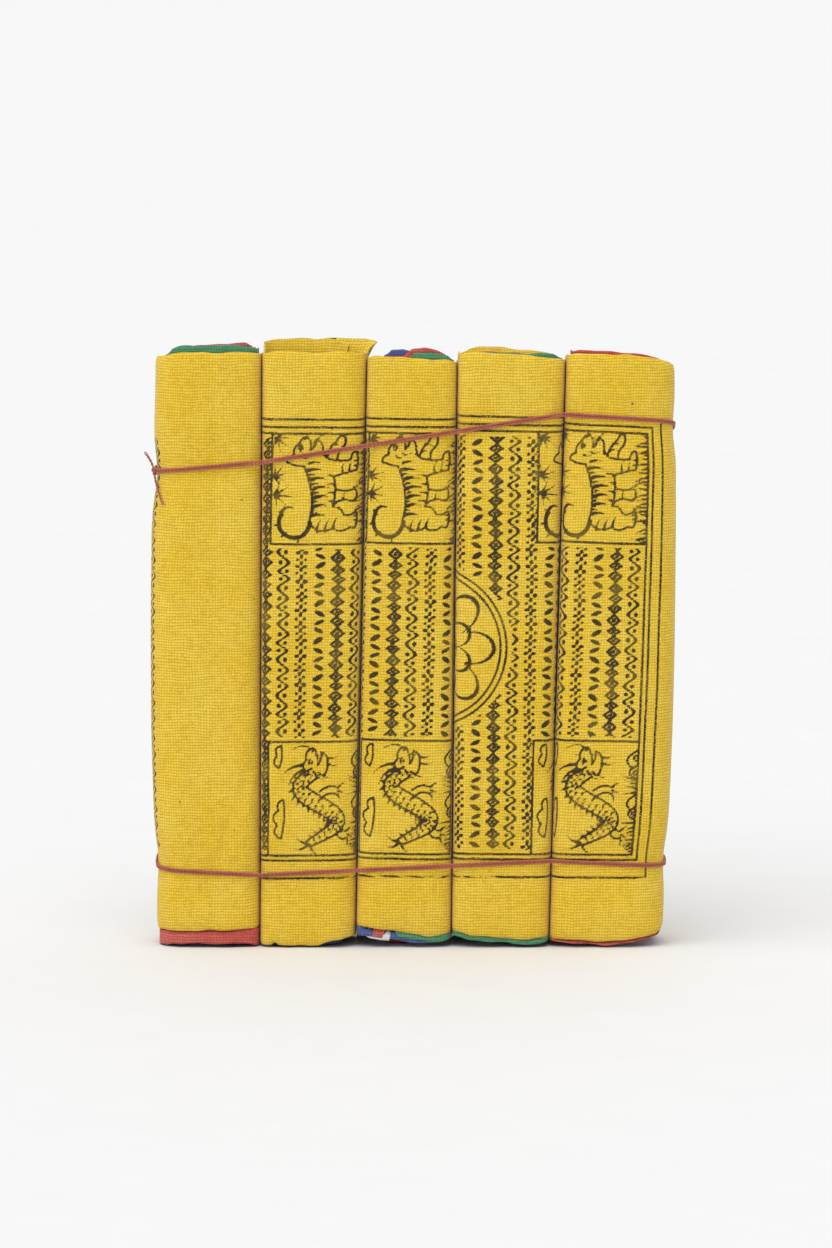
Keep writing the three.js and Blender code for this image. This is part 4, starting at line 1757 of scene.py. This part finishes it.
@dataclass(frozen=True)
class PlainWeave:
    """The plain weave of the flags: yarns over and under each other, each a little different.

    The drift and the wobble are the fineness and the size of the yarns' wandering. The slubs are their thick
    and thin places. The lifts and the rib are base heights and what a crown adds to them.
    """

    name: str = "plain_weave"
    yarn_shift: Pair = (37.0, 91.0)
    drift: Pair = (0.08, 2.0)
    wobble: Pair = (0.55, 0.55)
    slub_fineness: Pair = (3.7, 0.3)
    slub_span: Pair = (0.3, 0.7)
    slub_width: Pair = (0.72, 1.12)
    roundness: float = 0.75
    own_tone: float = 0.55
    slub_tone: float = 0.5
    warp_lift: Pair = (0.46, 0.42)
    weft_lift: Pair = (0.5, 0.5)
    rib: Pair = (0.58, 0.42)

    def build(self) -> bpy.types.NodeTree:
        """Make the node group.

        Returns:
            The group, which puts out the yarns' height and their shade.
        """
        group = bpy.data.node_groups.new(self.name, "ShaderNodeTree")
        face = group.interface
        face.new_socket("Place", in_out="INPUT", socket_type="NodeSocketVector")
        face.new_socket("Pitch", in_out="INPUT", socket_type="NodeSocketFloat").default_value = WEAVE_PITCH
        face.new_socket("Height", in_out="OUTPUT", socket_type="NodeSocketFloat")
        face.new_socket("Shade", in_out="OUTPUT", socket_type="NodeSocketFloat")
        sketch = NodeSketch(group)
        given = sketch.add("NodeGroupInput")
        result = sketch.add("NodeGroupOutput")
        (warp_row, warp, warp_tone), (weft_row, weft, weft_tone) = (self.yarn(sketch, given, axis) for axis in (0, 1))
        over = sketch.math("FLOORED_MODULO", sketch.math("ADD", warp_row, weft_row), 2.0)
        under = sketch.math("SUBTRACT", 1.0, over)
        warp_height = sketch.math("MULTIPLY", warp, sketch.scaled(over, *self.warp_lift))
        weft_height = sketch.math("MULTIPLY", weft, sketch.scaled(under, *self.weft_lift))
        highest = sketch.math("MAXIMUM", warp_height, weft_height)
        sketch.feed(result.inputs["Height"], sketch.math("MULTIPLY", highest, sketch.scaled(weft, *self.rib)))
        shades = [sketch.math("MULTIPLY", *pair) for pair in ((over, warp_tone), (under, weft_tone))]
        sketch.feed(result.inputs["Shade"], sketch.math("ADD", *shades))
        return group

    def yarn(self, sketch: NodeSketch, given: bpy.types.Node, axis: int) -> tuple[bpy.types.NodeSocket, ...]:
        """Add the yarns that lie side by side along an axis.

        Args:
            sketch: The group's nodes.
            given: The group's inputs.
            axis: 0 for the warp, 1 for the weft.

        Returns:
            The yarn's number, its crown and its tone.
        """
        split = sketch.add("ShaderNodeSeparateXYZ")
        sketch.feed(split.inputs[0], given.outputs["Place"])
        shifted = sketch.add("ShaderNodeVectorMath", operation="ADD")
        sketch.feed(shifted.inputs[0], given.outputs["Place"])
        shifted.inputs[1].default_value = (self.yarn_shift[0] * axis, self.yarn_shift[1] * axis, 0.0)
        drift = sketch.math("MULTIPLY", sketch.noise(shifted.outputs[0], self.drift[0]), self.drift[1])
        wobble = sketch.math("MULTIPLY", sketch.noise(shifted.outputs[0], self.wobble[0], 1.0), self.wobble[1])
        count = sketch.math("DIVIDE", split.outputs[axis], given.outputs["Pitch"])
        count = sketch.math("ADD", count, sketch.math("ADD", drift, wobble))
        whole = sketch.math("FLOOR", count)
        own = sketch.add("ShaderNodeTexWhiteNoise", noise_dimensions="1D")
        sketch.feed(own.inputs["W"], sketch.math("ADD", whole, 0.5 + self.yarn_shift[1] * axis))
        lengthways = sketch.add("ShaderNodeCombineXYZ")
        sketch.feed(lengthways.inputs[0], sketch.math("MULTIPLY", whole, self.slub_fineness[0]))
        sketch.feed(lengthways.inputs[1], sketch.math("MULTIPLY", split.outputs[1 - axis], self.slub_fineness[1]))
        slub = sketch.noise(lengthways.outputs[0], 1.0, 2.0)
        round_top = sketch.math("ABSOLUTE", sketch.math("SINE", sketch.math("MULTIPLY", count, math.pi)))
        round_top = sketch.math("POWER", round_top, self.roundness)
        crown = sketch.math("MULTIPLY", round_top, sketch.span(slub, *self.slub_span, *self.slub_width))
        own_tone = sketch.math("MULTIPLY", own.outputs["Value"], self.own_tone)
        tone = sketch.math("ADD", own_tone, sketch.math("MULTIPLY", slub, self.slub_tone))
        return whole, crown, tone


@dataclass(frozen=True)
class CottonFinish:
    """A dyed cotton: its colour where the dye is full and where it is thin, and a darker colour painted into the
    hollows of the weave as shade.

    A span is where a mask starts and ends, and a share is how much of its colour it brings. The fuzz has its
    fineness and its height, and so has the ragged edge of the ink.
    """

    name: str
    colour: Colour
    thin: Colour
    # Painted shade: the darker colour laid into the low places of the weave, where shade falls between the yarns.
    hollow: Colour
    printed: bool = False
    ink: Colour = (0.018, 0.013, 0.012)
    roughness: float = 0.88
    sheen: float = 0.18
    sheen_roughness: float = 0.5
    specular: float = 0.2
    dye_fineness: float = 0.045
    dye_span: Pair = (0.32, 0.72)
    dye_share: float = 0.55
    yarn_span: Pair = (0.15, 0.9)
    yarn_share: float = 0.42
    weave_shade_span: Pair = (0.74, 0.2)
    weave_shade_share: float = 0.85
    fuzz: Pair = (3.4, 0.5)
    bump_strength: float = 0.55
    bump_depth: float = 0.16
    ragged: Pair = (1.3, 0.42)
    woven: Pair = (0.7, 0.22)
    edge_span: Pair = (-0.1, 0.12)
    pressure_fineness: float = 0.11
    pressure_span: Pair = (0.3, 0.6)
    pressure: Pair = (0.8, 0.97)

    def build(self, weave: bpy.types.NodeTree) -> bpy.types.Material:
        """Make the material.

        Args:
            weave: The weave group.

        Returns:
            The material.
        """
        material, sketch, shader = shaded_material(self.name)
        place = sketch.add("ShaderNodeUVMap", uv_map="cloth").outputs[0]
        cloth = sketch.add("ShaderNodeGroup", node_tree=weave)
        sketch.feed(cloth.inputs["Place"], place)
        sketch.feed(cloth.inputs["Pitch"], WEAVE_PITCH)
        height, shade = cloth.outputs["Height"], cloth.outputs["Shade"]
        thin = (*self.thin, 1.0)
        dye = sketch.span(sketch.noise(place, self.dye_fineness, 4.0), *self.dye_span, 0.0, self.dye_share)
        colour = sketch.mix(dye, (*self.colour, 1.0), thin)
        colour = sketch.mix(sketch.span(shade, *self.yarn_span, 0.0, self.yarn_share), colour, thin)
        # Painted shade: the colour is darkened towards the hollow colour where the weave is low.
        weave_shade = sketch.span(height, *self.weave_shade_span, 0.0, self.weave_shade_share)
        colour = sketch.mix(weave_shade, colour, (*self.hollow, 1.0))
        if self.printed:
            colour = sketch.mix(self.ink_mask(sketch, place, height), colour, (*self.ink, 1.0))
        sketch.feed(shader.inputs["Base Color"], colour)
        shader.inputs["Roughness"].default_value = self.roughness
        shader.inputs["Sheen Weight"].default_value = self.sheen
        shader.inputs["Sheen Roughness"].default_value = self.sheen_roughness
        shader.inputs["Specular IOR Level"].default_value = self.specular
        fuzz = sketch.math("MULTIPLY", sketch.noise(place, self.fuzz[0], 3.0), self.fuzz[1])
        normal = sketch.bump(sketch.math("ADD", height, fuzz), self.bump_strength, self.bump_depth)
        sketch.feed(shader.inputs["Normal"], normal)
        return material

    def ink_mask(self, sketch: NodeSketch, place: bpy.types.NodeSocket,
                 height: bpy.types.NodeSocket) -> bpy.types.NodeSocket:
        """Where the ink has taken, broken up by the weave and by uneven pressure.

        Args:
            sketch: The material's nodes.
            place: Places on the flag.
            height: The weave's height.

        Returns:
            The mask.
        """
        edge = sketch.add("ShaderNodeAttribute", attribute_name="ink").outputs["Fac"]
        uneven = sketch.math("SUBTRACT", sketch.noise(place, self.ragged[0], 3.0), 0.5)
        ragged = sketch.math("MULTIPLY", uneven, self.ragged[1])
        woven = sketch.math("MULTIPLY", sketch.math("SUBTRACT", self.woven[0], height), self.woven[1])
        drawn = sketch.math("ADD", edge, sketch.math("ADD", ragged, woven))
        pressed = sketch.span(sketch.noise(place, self.pressure_fineness, 3.0), *self.pressure_span, *self.pressure)
        return sketch.math("MULTIPLY", sketch.span(drawn, *self.edge_span, 1.0, 0.0), pressed)


@dataclass(frozen=True)
class ThreadFinish:
    """A dull red cotton thread, with pale fibres and paler patches."""

    name: str = "red_thread"
    colour: Colour = (0.38, 0.075, 0.042)
    pale: Colour = (0.56, 0.175, 0.105)
    roughness: float = 0.8
    sheen: float = 0.3
    fibre_fineness: float = 5200.0
    fibre_span: Pair = (0.3, 0.75)
    fibre_share: Pair = (0.1, 0.8)
    patch_fineness: float = 260.0
    patch_span: Pair = (0.3, 0.7)
    patch_share: Pair = (0.5, 1.0)
    bump_strength: float = 0.5
    bump_depth: float = 0.05

    def build(self) -> bpy.types.Material:
        """Make the material.

        Returns:
            The material.
        """
        material, sketch, shader = shaded_material(self.name)
        place = sketch.add("ShaderNodeTexCoord").outputs["Object"]
        fibre = sketch.noise(place, self.fibre_fineness, 4.0)
        patch = sketch.noise(place, self.patch_fineness, 2.0)
        fibres = sketch.span(fibre, *self.fibre_span, *self.fibre_share)
        share = sketch.math("MULTIPLY", fibres, sketch.span(patch, *self.patch_span, *self.patch_share))
        sketch.feed(shader.inputs["Base Color"], sketch.mix(share, (*self.colour, 1.0), (*self.pale, 1.0)))
        shader.inputs["Roughness"].default_value = self.roughness
        shader.inputs["Sheen Weight"].default_value = self.sheen
        sketch.feed(shader.inputs["Normal"], sketch.bump(fibre, self.bump_strength, self.bump_depth))
        return material


# Each hollow colour is painted shade for the hollows of the weave, not a dye.
COTTONS: dict[Leaf, CottonFinish] = {
    Leaf.YELLOW: CottonFinish(
        "yellow_cotton", colour=(0.84, 0.56, 0.025), thin=(0.92, 0.7, 0.11), hollow=(0.52, 0.3, 0.012), printed=True,
    ),
    Leaf.GREEN: CottonFinish(
        "green_cotton", colour=(0.075, 0.26, 0.13), thin=(0.15, 0.38, 0.22), hollow=(0.035, 0.15, 0.07),
    ),
    Leaf.RED: CottonFinish(
        "red_cotton", colour=(0.57, 0.09, 0.07), thin=(0.68, 0.2, 0.16), hollow=(0.36, 0.04, 0.03),
    ),
    Leaf.WHITE: CottonFinish(
        "white_cotton", colour=(0.8, 0.79, 0.75), thin=(0.86, 0.85, 0.82), hollow=(0.6, 0.58, 0.54),
    ),
    Leaf.BLUE: CottonFinish(
        "blue_cotton", colour=(0.09, 0.125, 0.33), thin=(0.16, 0.21, 0.45), hollow=(0.045, 0.065, 0.21),
    ),
}


@dataclass(frozen=True)
class SoftLight:
    """A wide soft light: where it shines from, how far it spreads in degrees, and its power."""

    name: str
    place: Point
    spread: float
    power: float


@dataclass
class Studio:
    """The pale floor, the soft lights and the camera, in metres and degrees."""

    image: tuple[int, int] = (832, 1248)
    points_per_metre: float = 3460.0
    distance: float = 2.0
    elevation: float = 6.5
    target: Point = (0.0016, -0.0135, 0.0948)
    sensor: float = 36.0
    clip_end: float = 60.0
    floor_half: float = 24.0
    floor_dark: Colour = (0.788, 0.79, 0.796)
    floor_light: Colour = (0.818, 0.82, 0.826)
    floor_fineness: float = 40.0
    floor_roughness: float = 0.7
    floor_specular: float = 0.2
    surround: float = 0.42
    lamps: tuple[SoftLight, ...] = (
        SoftLight("key_light", (-0.6, -1.0, 1.9), 70.0, 2.15),
        SoftLight("back_light", (0.5, 0.9, 1.6), 100.0, 0.7),
    )

    def build(self) -> None:
        """Make the stage."""
        self.floor()
        self.lights()
        self.camera()

    def floor(self) -> None:
        """Make a wide plain floor."""
        net = bmesh.new()
        bmesh.ops.create_grid(net, x_segments=1, y_segments=1, size=self.floor_half)
        floor = mesh_object("floor", net)
        material, sketch, shader = shaded_material("pale_floor")
        place = sketch.add("ShaderNodeTexCoord").outputs["Object"]
        grain = sketch.noise(place, self.floor_fineness, 3.0)
        colour = sketch.mix(grain, (*self.floor_dark, 1.0), (*self.floor_light, 1.0))
        sketch.feed(shader.inputs["Base Color"], colour)
        shader.inputs["Roughness"].default_value = self.floor_roughness
        shader.inputs["Specular IOR Level"].default_value = self.floor_specular
        floor.data.materials.append(material)

    def lights(self) -> None:
        """Make the soft lights and the even surround."""
        for lamp in self.lamps:
            light = bpy.data.lights.new(lamp.name, "SUN")
            light.angle = math.radians(lamp.spread)
            light.energy = lamp.power
            holder = bpy.data.objects.new(lamp.name, light)
            holder.location = lamp.place
            holder.rotation_mode = "QUATERNION"
            holder.rotation_quaternion = (-Vector(lamp.place)).to_track_quat("-Z", "Y")
            bpy.context.scene.collection.objects.link(holder)
        world = bpy.data.worlds.new("surround")
        world.use_nodes = True
        background = world.node_tree.nodes["Background"]
        background.inputs["Color"].default_value = (1.0, 1.0, 1.0, 1.0)
        background.inputs["Strength"].default_value = self.surround
        bpy.context.scene.world = world
        bpy.context.scene.view_settings.view_transform = "Standard"

    def camera(self) -> None:
        """Make the camera, in front and a little above."""
        data = bpy.data.cameras.new("camera")
        data.sensor_width = self.sensor
        data.lens = self.points_per_metre * self.distance * self.sensor / max(self.image)
        data.clip_end = self.clip_end
        camera = bpy.data.objects.new("camera", data)
        lift = math.radians(self.elevation)
        back = Vector((0.0, -math.cos(lift), math.sin(lift)))
        camera.location = Vector(self.target) + back * self.distance
        camera.rotation_mode = "QUATERNION"
        camera.rotation_quaternion = (-back).to_track_quat("-Z", "Y")
        bpy.context.scene.collection.objects.link(camera)
        bpy.context.scene.camera = camera


def main() -> None:
    """Build the bundle and its stage."""
    logging.basicConfig(level=logging.INFO, format="%(name)s: %(message)s")
    Studio().build()
    weave = PlainWeave().build()
    finishes = {leaf: finish.build(weave) for leaf, finish in COTTONS.items()}
    for sizes in ROLLS:
        roll = WoundRoll(sizes)
        roll.build()
        roll.dress(finishes)
        log.info("%s: layers %.2f mm apart", sizes.name, roll.pitch)
    thread = ThreadFinish().build()
    for sizes in TIES:
        tie = ThreadTie(sizes)
        tie.build()
        tie.dress(thread)


if __name__ == "__main__":
    main()
